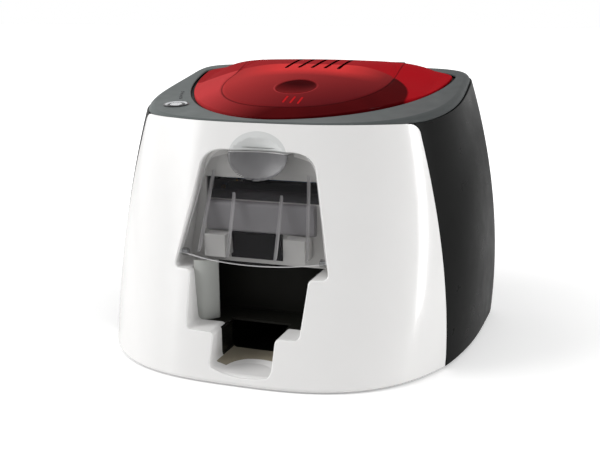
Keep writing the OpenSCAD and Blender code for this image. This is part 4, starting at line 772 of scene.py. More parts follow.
def top_rim(materials):
    """The rim, swept round the housing between its outer edge and the cover."""
    shape = Shape()
    count = 300
    theta = np.linspace(0, 2 * math.pi, count, endpoint=False)
    ones = np.ones(count)
    face = wall_surface(theta, ones, 0.0, 0.0)
    e = edge_r(face[:, 1])
    x_in, y_in = polar_lid(theta - math.pi / 2, LID_GAP)
    outward = unit(np.column_stack([face[:, 0] - x_in, face[:, 1] - y_in]))

    def outer(inset, drop):
        x, y = plan(theta, face[:, 2], inset)
        return np.column_stack([x, y, top(y) - drop])

    def inner(grow, drop):
        x, y = polar_lid(theta - math.pi / 2, LID_GAP + grow)
        return np.column_stack([x, y, top(y) - drop])

    chain = [outer(e * (1 - math.cos(a)), e * (1 - math.sin(a))) for a in np.linspace(0, math.pi / 2, 7)]
    chain[0][:, 2] += 0.2
    lip = 1.2
    back = []
    for a in np.linspace(0, math.pi / 2, 5):
        x, y = x_in + outward[:, 0] * lip * (1 - math.sin(a)), y_in + outward[:, 1] * lip * (1 - math.sin(a))
        back.append(np.column_stack([x, y, top(y) - lip * (1 - math.cos(a))]))
    ledge = LID_T + 0.3
    back += [inner(0, ledge), inner(-4, ledge), inner(-4, ledge + WALL), inner(WALL, ledge + WALL), inner(WALL, WALL)]
    low = [outer(2 * WALL, WALL), outer(2 * WALL, e + 3.0), outer(WALL + 0.3, e + 3.0), outer(WALL + 0.3, e - 0.2)]

    def add_rows(rows, last=None):
        grid = np.array(rows)
        around = np.roll(grid, -1, axis=1) - np.roll(grid, 1, axis=1)
        ids = []
        for i in range(len(grid)):
            step = grid[min(i + 1, len(grid) - 1)] - grid[max(i - 1, 0)]
            ids.append(shape.add(grid[i], unit(np.cross(around[i], step))))
        return ids

    holes = [circle_loop(*BUTTON_AT, BUTTON_BORE, 48)]
    holes += [circle_loop(*light_place(i), LIGHT_BORE, 20) for i in range(LIGHT_COUNT)]
    upper, marks = rim_sheet(shape, [chain[-1][:, :2], back[0][:, :2]] + holes, 0.0, 1, 5.0)
    under, low_marks = rim_sheet(shape, [low[0][:, :2], back[-1][:, :2]] + holes, WALL, -1, 7.0)
    front_rows = add_rows(chain[:-1])
    shape.rows(front_rows + [upper[marks[0]]])
    back_rows = add_rows(back[1:5])
    shape.rows([upper[marks[1]]] + back_rows)
    for a, b in zip(back[4:-1], back[5:]):
        shape.rows(add_rows([a, b]))
    for a, b in zip(low[:-1], low[1:]):
        shape.rows(add_rows([a, b]))
    shape.rows(add_rows([low[-1], chain[0]]))
    for mark, low_mark, loop in zip(marks[2:], low_marks[2:], holes):
        middle = loop.mean(axis=0)
        way = unit(np.column_stack([middle - loop, np.zeros(len(loop))]))
        a = shape.add(np.column_stack([loop, top(loop[:, 1])]), way)
        b = shape.add(np.column_stack([loop, top(loop[:, 1]) - WALL]), way)
        shape.rows([a, b])
    for side in (-1, 1):
        for end in (-1, 1):
            middle = side * HINGE_X + end * (KNUCKLE_LEN + KNUCKLE_GAP)
            knuckle(shape, middle - KNUCKLE_LEN / 2, KNUCKLE_LEN, rim_knuckle_reach)
    obj = shape.make("top_rim_skin", materials)
    # Painted shade: the rim's faces inside the cover's edge and below its top take the near-black inner material.
    paint(obj, 1, lambda p: (edge_share(p[:, 0], p[:, 1]) < 1.03) & (p[:, 2] < top(p[:, 1]) - 1.0))
    return finish_piece(obj, "housing", "rim_grey", "top_rim")


def rim_knuckle_reach(angle):
    """Reach of the standing knuckle from the pin: round above, a block below."""
    c, s = abs(math.cos(angle)), math.sin(angle)
    if s >= 0:
        return KNUCKLE_R
    depth = HINGE_Z - float(top(np.array(HINGE_Y))) + 1.5
    return min(KNUCKLE_R / max(c, 1e-6), depth / max(-s, 1e-6))


def knuckle(shape, x0, length, reach, centre=None, bore=None):
    """Bored knuckle along X whose outline is its reach from the pin at each angle."""
    cy, cz = (HINGE_Y, HINGE_Z) if centre is None else centre
    bore = PIN_BORE if bore is None else bore
    angles = np.linspace(0, 2 * math.pi, 72, endpoint=False)
    far = np.array([reach(a) for a in angles])
    way = np.column_stack([np.zeros(72), np.cos(angles), np.sin(angles)])
    chamfer = min(0.5, length * 0.1)

    def ring(x, radius):
        return np.column_stack([np.full(72, x), cy + radius * np.cos(angles), cz + radius * np.sin(angles)])

    rim = ring(0, far)
    along = np.roll(rim, -1, axis=0) - np.roll(rim, 1, axis=0)
    out = unit(np.column_stack([np.zeros(72), along[:, 2], -along[:, 1]]))
    x1 = x0 + length
    body = [
        shape.add(ring(x0 + chamfer, far), out), shape.add(ring(x1 - chamfer, far), out)
    ]
    shape.rows(body)
    for x, face_x_, sign, row in ((x0 + chamfer, x0, -1, body[0]), (x1 - chamfer, x1, 1, body[1])):
        edge = shape.add(ring(face_x_, far - chamfer), [sign, 0, 0])
        hole = shape.add(ring(face_x_, np.full(72, bore)), [sign, 0, 0])
        shape.rows([row, edge, hole])
    shape.rows([shape.add(ring(x0, np.full(72, bore)), -way), shape.add(ring(x1, np.full(72, bore)), -way)])


def vent_outline(x):
    """Slot of the vents seen from above: a stadium along the depth, anticlockwise."""
    y0 = LID_Y + LID_REAR - 10 - VENT_LEN + VENT_W / 2
    y1 = LID_Y + LID_REAR - 10 - VENT_W / 2
    r = VENT_W / 2
    low = [(x + r * math.cos(a), y0 + r * math.sin(a)) for a in np.linspace(math.pi, 2 * math.pi, 9)]
    high = [(x + r * math.cos(a), y1 + r * math.sin(a)) for a in np.linspace(0, math.pi, 9)]
    return resample(low + high, 2.2, closed=True)


def groove_share(turn):
    x, y = polar_lid(turn)
    reach = 1 / np.sqrt((x / GROOVE_HALF) ** 2 + ((y - LID_Y) / GROOVE_FRONT) ** 2)
    return np.minimum(reach, 0.9)


def cover_height(x, y):
    """Height of the moulded cover: crown, ring groove and finger dimple."""
    z = lid_z(x, y)
    turn = np.arctan2(y - LID_Y, x)
    share = edge_share(x, y)
    ring = groove_share(turn)
    step = (share - ring) / 0.012
    z = z - 0.9 * np.exp(-(step**2) * 0.9)
    # Dimple: a round dish with a soft step at its rim
    flat = np.hypot(x - DIMPLE_X, y - DIMPLE_Y) / DIMPLE_R
    dish = (DIMPLE_DEEP - 1.2) * np.clip(1 - flat**2, 0, 1)
    soft = smooth((1.04 - flat) / 0.16) * 1.2
    return z - np.where(flat < 1.04, dish + soft, 0)


def height_normal(height, x, y):
    h = 0.05
    dx = (height(x + h, y) - height(x - h, y)) / (2 * h)
    dy = (height(x, y + h) - height(x, y - h)) / (2 * h)
    return unit(np.stack([-dx, -dy, np.ones_like(dx)], axis=1))


def lid_shell(materials):
    """Moulded cover from above: triangulated crown, rounded edge, skirt and under face."""
    shape = Shape()
    count = 320
    turn = np.linspace(0, 2 * math.pi, count, endpoint=False)
    edge_round = 1.0
    x_edge, y_edge = polar_lid(turn, -edge_round - LID_TRIM)
    border = np.stack([x_edge, y_edge], axis=1)
    vents = [vent_outline((i - (VENT_COUNT - 1) / 2) * VENT_PITCH) for i in range(VENT_COUNT)]
    ring = groove_share(turn)
    extra = []
    for step in np.linspace(-0.036, 0.044, 11):
        x, y = polar_lid(turn)
        extra.append(np.stack([x * (ring + step), LID_Y + (y - LID_Y) * (ring + step)], axis=1))
    few = np.linspace(0, 2 * math.pi, 96, endpoint=False)
    for part in np.linspace(0.12, 1.1, 17):
        extra.append(np.stack([
            DIMPLE_X + DIMPLE_R * part * np.cos(few), DIMPLE_Y + DIMPLE_R * part * np.sin(few)
        ], axis=1))
    extra = np.concatenate(extra)
    flat, faces, marks = triangulate([border] + vents, 4.0, extra)
    x, y = flat[:, 0], flat[:, 1]
    normals = height_normal(cover_height, x, y)
    outer = shape.add(np.stack([x, y, cover_height(x, y)], axis=1), normals)
    sunk = np.where(np.hypot(x - DIMPLE_X, y - DIMPLE_Y) < DIMPLE_R * 1.05, DIMPLE_DEEP, 0.0)
    under = shape.add(np.stack([x, y, lid_z(x, y) - LID_T - sunk], axis=1), [0, 0, -1])
    for f in faces:
        shape.faces.append(tuple(int(outer[i]) for i in f))
        shape.faces.append(tuple(int(under[i]) for i in f[::-1]))
    out = np.stack([np.cos(turn), np.sin(turn), np.zeros(count)], axis=1)
    x_far, y_far = polar_lid(turn + 0.01)
    x_near, y_near = polar_lid(turn - 0.01)
    side = unit(np.stack([y_far - y_near, -(x_far - x_near), np.zeros(count)], axis=1))
    rows = [outer[marks[0]]]
    way = normals[marks[0]]
    for k in range(1, 5):
        a = math.pi / 2 * k / 4
        x, y = polar_lid(turn, -edge_round * (1 - math.sin(a)) - LID_TRIM)
        z = lid_z(x_edge, y_edge) - edge_round * (1 - math.cos(a))
        rows.append(shape.add(np.stack([x, y, z], axis=1), unit(way * math.cos(a) + side * math.sin(a))))
    x, y = polar_lid(turn, -LID_TRIM)
    low = np.minimum(top(y), lid_z(x, y) - 0.1) - LID_T
    rows.append(shape.add(np.stack([x, y, low], axis=1), side))
    foot = shape.add(np.stack([x, y, low], axis=1), [0, 0, -1])
    x, y = polar_lid(turn, -3.0)
    low_in = np.minimum(top(y), lid_z(x, y) - 0.1) - LID_T
    shape.rows(rows)
    foot_in = shape.add(np.stack([x, y, low_in], axis=1), [0, 0, -1])
    shape.rows([foot, foot_in, under[marks[0]]])
    for mark, line in zip(marks[1:], vents):
        after = np.roll(line, -1, axis=0) - np.roll(line, 1, axis=0)
        wall = unit(np.stack([-after[:, 1], after[:, 0], np.zeros(len(line))], axis=1))
        z = cover_height(line[:, 0], line[:, 1])
        a = shape.add(np.stack([line[:, 0], line[:, 1], z], axis=1), wall)
        b = shape.add(np.stack([line[:, 0], line[:, 1], z - LID_T], axis=1), wall)
        shape.rows([a, b])
    for side in (-1, 1):
        knuckle(shape, side * HINGE_X - KNUCKLE_LEN / 2, KNUCKLE_LEN, lid_knuckle_reach)
    skin = len(shape.faces)
    cover_bars(shape)
    obj = shape.make("cover_skin", materials)
    for polygon in obj.data.polygons:
        polygon.material_index = int(polygon.index >= len(obj.data.polygons) - (len(shape.faces) - skin))
    return finish_piece(obj, "lid", "cover_red", "lid_shell")


def cover_bars(shape):
    """Three short raised bars in front of the dimple."""
    for x0 in BARS_X:
        plan_line = rounded_box(x0, BARS_Y, BAR_W, BAR_LEN, BAR_W / 2 - 0.05, 1.0)
        x, y = plan_line[:, 0], plan_line[:, 1]
        low = shape.add(np.stack([x, y, cover_height(x, y) - 0.3], axis=1), [0, 0, 1])
        x_in, y_in = x0 + (x - x0) * 0.8, BARS_Y + (y - BARS_Y) * 0.96
        high = shape.add(np.stack([x_in, y_in, cover_height(x_in, y_in) + 0.35], axis=1), [0, 0, 1])
        shape.rows([low, high])
        middle = shape.add([x0, BARS_Y, float(cover_height(np.array(x0), np.array(BARS_Y))) + 0.35], [0, 0, 1])
        shape.fan(high, middle[0])


BARS_X, BARS_Y, BAR_W, BAR_LEN = (5.5, 12.5, 19.5), -23.0, 2.0, 14.0


def lid_knuckle_reach(angle):
    """Reach of the cover's knuckle from the pin: round, with an arm towards the cover."""
    c, s = math.cos(angle), abs(math.sin(angle))
    arm = 1.5 / max(s, 1e-6)
    length = HINGE_Y - LID_Y - LID_REAR + 3
    return max(KNUCKLE_R, min(arm, length)) if c < 0 else KNUCKLE_R


def hood_half(w):
    z = lerp(HOOD_FOOT_Z, HOOD_TOP_Z, w)
    side = lerp(RECESS_FOOT, RECESS_SHOULDER, (z - LEDGE_Z) / (RECESS_SHOULDER_Z - LEDGE_Z)) - HOOD_GAP
    v = np.clip((w - HOOD_SHOULDER) / (1 - HOOD_SHOULDER), 0, 1)
    return lerp(RECESS_TOP, side, np.sqrt(np.maximum(1 - v * v, 0)))


def hood_inset(z):
    part = np.clip((z - HOOD_FOOT_Z) / (HOOD_TOP_Z - HOOD_FOOT_Z), 0, 1)
    return lerp(HOOD_INSET_FOOT, HOOD_INSET_TOP, part)


def hood_point(v, w, deep):
    """Point of the hood: v runs across from -1 to 1, w up from 0 to 1."""
    x = v * hood_half(w)
    z = lerp(HOOD_FOOT_Z, HOOD_TOP_Z, w) + (1 - w) * HOOD_FOOT_RISE * v * v
    y = face_y(x, z, hood_inset(z) + deep)
    return np.stack([x, y, z], axis=-1)


def bowl_press(p, deep):
    """The half-moon bowl, its rim flush with the housing's face just above the hood."""
    centre, radius = scoop_ball()
    x, z = p[..., 0], p[..., 2]
    reach = np.sqrt((x / SCOOP_WIDE) ** 2 + (z - centre[2]) ** 2)
    ball = centre[1] + np.sqrt(np.maximum(radius**2 - reach**2, 0))
    flush = face_y(x, z, 0.6)
    brim = smooth((SCOOP_R + 2.6 - reach) / 2.2)
    y = lerp(p[..., 1], flush + deep, brim)
    y = np.where(reach < SCOOP_R, np.maximum(y, ball + deep), y)
    out = p.copy()
    out[..., 1] = y
    return out


def feeder_hood(materials):
    cols, rows = 121, 101
    v = np.linspace(-1, 1, cols)
    v = np.sign(v) * (1 - (1 - np.abs(v)) ** 1.15)
    w = np.linspace(0, 1, rows)
    vv, ww = np.meshgrid(v, w)
    shape = Shape()
    front = bowl_press(hood_point(vv, ww, 0.0), 0.0)
    back = bowl_press(hood_point(vv, ww, HOOD_T), HOOD_T)

    def face_normals(grid, sign):
        du = np.gradient(grid, axis=1)
        dv = np.gradient(grid, axis=0)
        return unit(np.cross(du, dv)) * sign

    n_front = face_normals(front, 1.0)
    n_back = face_normals(back, -1.0)
    a = shape.add(front, n_front).reshape(rows, cols)
    b = shape.add(back, n_back).reshape(rows, cols)
    for j in range(rows - 1):
        for i in range(cols - 1):
            shape.faces.append((int(a[j, i]), int(a[j, i + 1]), int(a[j + 1, i + 1]), int(a[j + 1, i])))
            shape.faces.append((int(b[j, i]), int(b[j + 1, i]), int(b[j + 1, i + 1]), int(b[j, i + 1])))
    loop = [(0, i) for i in range(cols)] + [(j, cols - 1) for j in range(1, rows)]
    loop += [(rows - 1, i) for i in range(cols - 2, -1, -1)] + [(j, 0) for j in range(rows - 2, 0, -1)]
    f = np.array([front[j, i] for j, i in loop])
    g = np.array([back[j, i] for j, i in loop])
    along = np.roll(f, -1, axis=0) - np.roll(f, 1, axis=0)
    out = unit(np.cross(along, g - f)) * -1.0
    middle = f.mean(axis=0)
    out *= np.sign(((f - middle) * out).sum(axis=1))[:, None]
    nf = np.array([n_front[j, i] for j, i in loop])
    nb = np.array([n_back[j, i] for j, i in loop])
    ring = [np.array([a[j, i] for j, i in loop])]
    for k in range(1, 8):
        t = math.pi * k / 8
        belly = 0.55 * math.sin(t)
        place = lerp(f, g, (1 - math.cos(t)) / 2) + out * belly
        ring.append(shape.add(place, unit(nf * math.cos(t / 1) * (1 if t < math.pi / 2 else 0)
                                          + nb * -math.cos(t) * (1 if t > math.pi / 2 else 0) + out * math.sin(t))))
    ring.append(np.array([b[j, i] for j, i in loop]))
    shape.rows(ring)
    hood_ribs(shape)
    clear = len(shape.faces)
    for x0 in (HOOD_LUG_X, -HOOD_LUG_X - HOOD_LUG_T):
        knuckle(shape, x0, HOOD_LUG_T, lambda a: HOOD_LUG_R, HOOD_PIN, HOOD_PIN_BORE)
    obj = shape.make("feeder_hood_skin", materials)
    paint(obj, 2, lambda p: np.hypot(p[:, 0] / SCOOP_WIDE, p[:, 2] - SCOOP_Z) < SCOOP_R + 0.4)
    for polygon in obj.data.polygons[2 * (rows - 1) * (cols - 1) : clear]:
        polygon.material_index = 1
    return finish_piece(obj, "hood", "smoke_clear", "feeder_hood")


def hood_ribs(shape):
    """Two pairs of upright ribs inside the hood."""
    for side in (-1, 1):
        for x_foot, x_top, w_top in ((HOOD_RIB_X, HOOD_RIB_X, 0.62), (HOOD_RIB_X + 28, HOOD_RIB_X + 22, 0.8)):
            w = np.linspace(0.04, w_top, 60)
            x = np.linspace(x_foot, x_top, 60) * side
            z = lerp(HOOD_FOOT_Z, HOOD_TOP_Z, w) + (1 - w) * HOOD_FOOT_RISE * (x / hood_half(w)) ** 2
            rise = np.sqrt(np.clip(np.linspace(0, 1, 60) * 12, 0, 1) * np.clip(np.linspace(1, 0, 60) * 12, 0, 1))
            section = []
            half = HOOD_RIB_T / 2
            for dx, depth, nx, ny in (
                (-half, -0.3, -1, 0), (-half, 0.75, -1, 0), (-half * 0.6, 1.0, -0.6, 0.8),
                (half * 0.6, 1.0, 0.6, 0.8), (half, 0.75, 1, 0), (half, -0.3, 1, 0),
            ):
                deep = HOOD_T + np.where(depth < 0, -0.3, depth * HOOD_RIB * rise)
                y = face_y(x, z, hood_inset(z) + deep)
                points = np.stack([x + dx, y, z], axis=1)
                section.append(shape.add(points, [nx, ny, 0]))
            shape.rows(section, closed=False)
            for end in (0, -1):
                ids = [int(s[end]) for s in section]
                shape.faces.append(tuple(ids if end else ids[::-1]))



def plate(shape, outline, y_front, y_back, holes=()):
    """Flat wall across the opening: an outline and its holes in x and z, between two depths."""
    flat, faces, marks = triangulate([outline] + list(holes), 6.0)
    sides = []
    for y, way in ((y_front, -1), (y_back, 1)):
        ids = shape.add(np.column_stack([flat[:, 0], np.full(len(flat), y), flat[:, 1]]), [0, way, 0])
        for f in faces:
            shape.faces.append(tuple(int(ids[i]) for i in f))
        sides.append(ids)
    for mark, line in zip(marks, [outline] + list(holes)):
        after = np.roll(line, -1, axis=0) - np.roll(line, 1, axis=0)
        way = unit(np.column_stack([after[:, 1], np.zeros(len(line)), -after[:, 0]]))
        ends = [shape.add(np.column_stack([line[:, 0], np.full(len(line), y), line[:, 1]]), way)
                for y in (y_front, y_back)]
        shape.rows(ends)


def rolled(shape, x0, x1, profile):
    """Solid bar along X from a closed outline of depth and height."""
    profile = resample(profile, 1.5, closed=True)
    after = np.roll(profile, -1, axis=0) - np.roll(profile, 1, axis=0)
    way = unit(np.column_stack([np.zeros(len(profile)), -after[:, 1], after[:, 0]]))
    ends = []
    for x in (x0, x1):
        row = np.column_stack([np.full(len(profile), x), profile])
        ends.append(shape.add(row, way))
        cap = shape.add(row, [math.copysign(1, x - (x0 + x1) / 2), 0, 0])
        middle = shape.add(row.mean(axis=0), [math.copysign(1, x - (x0 + x1) / 2), 0, 0])
        shape.fan(cap, middle[0])
    shape.rows(ends)


def feeder_panel(materials):
    """Pale wall behind the hood with the card slot, and the dark block under the guide."""
    shape = Shape()
    line = opening_outline()
    line = line[line[:, 1] > LEDGE_Z + 0.5]
    middle = np.array([0.0, (LEDGE_Z + RECESS_TOP_Z) / 2])
    line = middle + (line - middle) * [1.028, 1.03]
    line[:, 1] = np.maximum(line[:, 1], LEDGE_Z + 0.1)
    turn = np.arctan2(line[:, 1] - middle[1], line[:, 0])
    line = resample(line[np.argsort(turn)], 2.5, closed=True)
    gap = 0.25
    slot = rounded_box(0, (SLOT_LOW + SLOT_HIGH) / 2, 2 * SLOT_HALF, SLOT_HIGH - SLOT_LOW, 0.5)[::-1]
    low = rounded_box(0, (GUIDE_LOW + SLOT_LOW) / 2 - gap * 2, 2 * (GUIDE_HALF + gap), SLOT_LOW - GUIDE_LOW - gap * 4, 0.5)[::-1]
    y0 = RECESS_BACK + gap
    plate(shape, line, y0, y0 + PANEL_T, [slot, low])
    pale = len(shape.faces)
    block = fillet(
        [(BLOCK_Y, GUIDE_LOW - 0.5), (y0 + 1, GUIDE_LOW - 0.5), (y0 + 1, BLOCK_LOW), (y0 - 2.2, BLOCK_LOW)], [0, 0, 0, 1.5]
    )
    rolled(shape, BLOCK_LEFT, BLOCK_RIGHT, block)
    obj = shape.make("feeder_panel_skin", materials)
    for polygon in obj.data.polygons[pale:]:
        polygon.material_index = 1
    return finish_piece(obj, "housing", "inner_pale", "feeder_panel")


def card_guide(material):
    """Rounded dark guide under the card slot."""
    shape = Shape()
    high = SLOT_LOW - 0.3
    outline = fillet(
        [(GUIDE_Y, high), (GUIDE_BACK_Y, high), (GUIDE_BACK_Y, GUIDE_LOW), (GUIDE_Y, GUIDE_LOW)], [3.5, 0.4, 0.4, 3.0]
    )
    rolled(shape, -GUIDE_HALF, GUIDE_HALF, outline)
    return finish_piece(shape.make("card_guide_skin", [material]), "housing", "inner_dark", "card_guide")


def bay_corner(material):
    """Pale corner plate of the bay, drawn in a darker grey as painted shade: it follows the slanted wall and turns back
    at its right end.
    """
    shape = Shape()
    across = np.linspace(0, 1, 25)
    up = np.linspace(0, 1, 13)
    low, high = BAY_FLOOR_Z + 0.1, CORNER_HIGH
    s, t = np.meshgrid(across, up)
    z = lerp(low, high, t)
    left = -lerp(BAY_FOOT, BAY_TOP, np.minimum((z - BAY_FLOOR_Z) / (LEDGE_Z - BAY_FLOOR_Z), 1)) + 0.05
    x = lerp(left, CORNER_RIGHT, s)
    bow = np.clip((s - 0.25) / 0.75, 0, 1) ** 2 * 9.0
    sheets = []
    for deep in (0.0, CORNER_DEEP):
        y = BAY_BACK + 0.2 + bow + deep
        grid = np.stack([x, y, z], axis=-1)
        way = unit(np.cross(np.gradient(grid, axis=1), np.gradient(grid, axis=0))) * (1 if deep == 0 else -1)
        ids = shape.add(grid, way).reshape(s.shape)
        for j in range(len(up) - 1):
            for i in range(len(across) - 1):
                shape.faces.append((int(ids[j, i]), int(ids[j, i + 1]), int(ids[j + 1, i + 1]), int(ids[j + 1, i])))
        sheets.append(ids)
    loops = [np.concatenate([ids[0, :-1], ids[:-1, -1], ids[-1, :0:-1], ids[:0:-1, 0]]) for ids in sheets]
    shape.rows(loops)
    return finish_piece(shape.make("bay_corner_skin", [material]), "housing", "inner_pale", "bay_corner")


def lathe(shape, at, profile):
    """Turned piece, from its profile of radius and height, leaning as the rim does at its middle."""
    lean = (float(top(at[1] + 1)) - float(top(at[1] - 1))) / 2
    profile = resample(profile, 0.6)
    tangent = np.gradient(profile, axis=0)
    way = unit(np.column_stack([-tangent[:, 1], tangent[:, 0]]))
    turn = np.linspace(0, -2 * math.pi, 72, endpoint=False)
    c, s = np.cos(turn), np.sin(turn)
    rows = []
    for (r, z), (nr, nz) in zip(profile, way):
        points = np.column_stack([at[0] + r * c, at[1] + r * s, z + lean * r * s])
        rows.append(shape.add(points, np.column_stack([nr * c, nr * s, np.full(72, nz)])))
    shape.rows(rows)
    return rows


def paint_rings(obj, index, rings):
    """Gives the faces between pairs of radii round the button another of the piece's materials."""
    def chosen(p):
        r = np.hypot(p[:, 0] - BUTTON_AT[0], p[:, 1] - BUTTON_AT[1])
        return np.any([(r > a) & (r < b) for a, b in rings], axis=0)
    paint(obj, index, chosen)


def control_button(materials):
    """Cap with a rounded edge and a dark groove round its silver middle, on its stem."""
    low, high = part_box("control_button")[0][2] / MM + 0.3, float(top(BUTTON_AT[1])) + 1.1
    shape = Shape()
    rows = lathe(shape, BUTTON_AT, [
        (0.05, high - 0.1), (5.6, high - 0.3), (6.2, high - 1.0), (6.8, high - 1.0), (7.2, high - 0.5),
        (7.7, high - 0.7), (BUTTON_R, high - 1.1), (BUTTON_R, high - CAP_T), (STEM_R, high - CAP_T), (STEM_R, low),
        (0.05, low),
    ])
    for row, way in ((rows[0], 1), (rows[-1], -1)):
        shape.faces.append(tuple(int(i) for i in row[::way]))
    obj = shape.make("control_button_skin", materials)
    paint_rings(obj, 1, [(5.9, BUTTON_R + 1)])
    return finish_piece(obj, "button", "button_silver", "control_button")


def button_ring(materials):
    """Black ring round the button with a silver slope inside."""
    low = float(top(BUTTON_AT[1]))
    high = low + 1.1
    shape = Shape()
    inner = BUTTON_R + 0.3
    rows = lathe(shape, BUTTON_AT, [
        (inner, low), (inner, high - 0.9), (10.2, high - 0.1), (10.8, high), (11.6, high - 0.3), (12.0, high - 0.8),
        (12.0, low), (inner, low),
    ])
    shape.rows([rows[-1], rows[0]])
    obj = shape.make("button_ring_skin", materials)
    paint_rings(obj, 1, [(inner + 0.1, 10.2)])
    return finish_piece(obj, "housing", "rim_grey", "button_ring")


def button_spring(material):
    """Return spring: a coil of wire between the ends of its solid."""
    (_, _, low), (_, _, high) = [np.array(v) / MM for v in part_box("button_spring")]
    shape = Shape()
    turns, wire, radius, sides = 6, 0.5, 5.0, 8
    around = np.linspace(0, -2 * math.pi, sides, endpoint=False)
    rows = []
    for k in range(turns * 24 + 1):
        a = 2 * math.pi * k / 24
        z = lerp(low + wire, high - wire, k / (turns * 24))
        out = np.array([math.cos(a), math.sin(a), 0.0])
        middle = np.array([*BUTTON_AT, z]) + out * radius
        way = np.outer(np.cos(around), out) + np.outer(np.sin(around), [0, 0, 1])
        rows.append(shape.add(middle + way * wire, way))
    shape.rows(rows)
    for row, step in ((rows[0], 1), (rows[-1], -1)):
        shape.faces.append(tuple(int(i) for i in row[::step]))
    obj = shape.make("button_spring_skin", [material])
    finish_piece(obj, "housing", "steel", "button_spring")
    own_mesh(obj)
    return obj


SPECULAR = "Specular IOR Level"


class Nodes:
    """Short hand for building one material's nodes."""

    def __init__(self, name):
        self.material = bpy.data.materials.new(name)
        self.material.use_nodes = True
        self.tree = self.material.node_tree
        self.shader = self.tree.nodes["Principled BSDF"]
        self.place = self.new("ShaderNodeTexCoord").outputs["Object"]

    def new(self, kind, **values):
        node = self.tree.nodes.new(kind)
        for key, value in values.items():
            setattr(node, key, value)
        return node

    def put(self, socket, value):
        if isinstance(value, bpy.types.NodeSocket):
            self.tree.links.new(value, socket)
        else:
            socket.default_value = value

    def noise(self, scale, detail=3.0, stretch=None, rough=0.5):
        node = self.new("ShaderNodeTexNoise")
        where = self.place
        if stretch is not None:
            mapping = self.new("ShaderNodeMapping")
            self.put(mapping.inputs["Vector"], where)
            mapping.inputs["Scale"].default_value = stretch
            where = mapping.outputs["Vector"]
        self.put(node.inputs["Vector"], where)
        node.inputs["Scale"].default_value = scale
        node.inputs["Detail"].default_value = detail
        node.inputs["Roughness"].default_value = rough
        return node.outputs["Fac"]

    def span(self, value, low, high, a=0.3, b=0.7):
        node = self.new("ShaderNodeMapRange")
        self.put(node.inputs["Value"], value)
        node.inputs["From Min"].default_value = a
        node.inputs["From Max"].default_value = b
        node.inputs["To Min"].default_value = low
        node.inputs["To Max"].default_value = high
        return node.outputs["Result"]

    def math(self, operation, a, b=0.0):
        node = self.new("ShaderNodeMath", operation=operation)
        self.put(node.inputs[0], a)
        self.put(node.inputs[1], b)
        return node.outputs[0]

    def mix(self, share, a, b):
        node = self.new("ShaderNodeMix", data_type="RGBA")
        self.put(node.inputs[0], share)
        self.put(node.inputs[6], a)
        self.put(node.inputs[7], b)
        return node.outputs[2]

    def bump(self, height, strength, distance):
        node = self.new("ShaderNodeBump")
        node.inputs["Strength"].default_value = strength
        node.inputs["Distance"].default_value = distance
        self.put(node.inputs["Height"], height)
        self.put(self.shader.inputs["Normal"], node.outputs["Normal"])

    def coordinate(self, axis):
        node = self.new("ShaderNodeSeparateXYZ")
        self.put(node.inputs[0], self.place)
        return node.outputs[axis]


def rgb(color, scale=1.0):
    return tuple(min(c * scale, 1.0) for c in color) + (1.0,)


def plastic(name, color, rough, grain=900.0, depth=0.00002, spread=0.06, coat=0.0, **extra):
    """Moulded plastic: slight mottling, uneven gloss and a fine moulded texture."""
    n = Nodes(name)
    cloud = n.noise(14.0, 4.0)
    n.put(n.shader.inputs["Base Color"], n.mix(n.span(cloud, 0.0, 1.0), rgb(color, 1 - spread), rgb(color, 1 + spread)))
    streak = n.noise(55.0, 5.0)
    n.put(n.shader.inputs["Roughness"], n.span(streak, rough * 0.88, rough * 1.14))
    n.bump(n.noise(grain, 2.0), 0.35, depth)
    n.shader.inputs["Coat Weight"].default_value = coat
    n.shader.inputs["Coat Roughness"].default_value = 0.04
    for key, value in extra.items():
        n.shader.inputs[key].default_value = value
    return n


def metal(name, color, rough, stretch=(1.0, 1.0, 1.0), grain=260.0, depth=0.00003, spread=0.1):
    """Rolled, turned or drawn metal with fine lines along one direction."""
    n = Nodes(name)
    lines = n.noise(grain, 4.0, stretch)
    n.put(n.shader.inputs["Base Color"], n.mix(n.span(lines, 0.0, 1.0), rgb(color, 1 - spread), rgb(color, 1 + spread)))
    n.put(n.shader.inputs["Roughness"], n.span(n.noise(30.0, 4.0), rough * 0.8, rough * 1.25))
    n.shader.inputs["Metallic"].default_value = 1.0
    n.bump(lines, 0.3, depth)
    return n


def within(n, value, low, high):
    """1 between two values, else 0."""
    return n.math("MULTIPLY", n.math("GREATER_THAN", value, low), n.math("LESS_THAN", value, high))


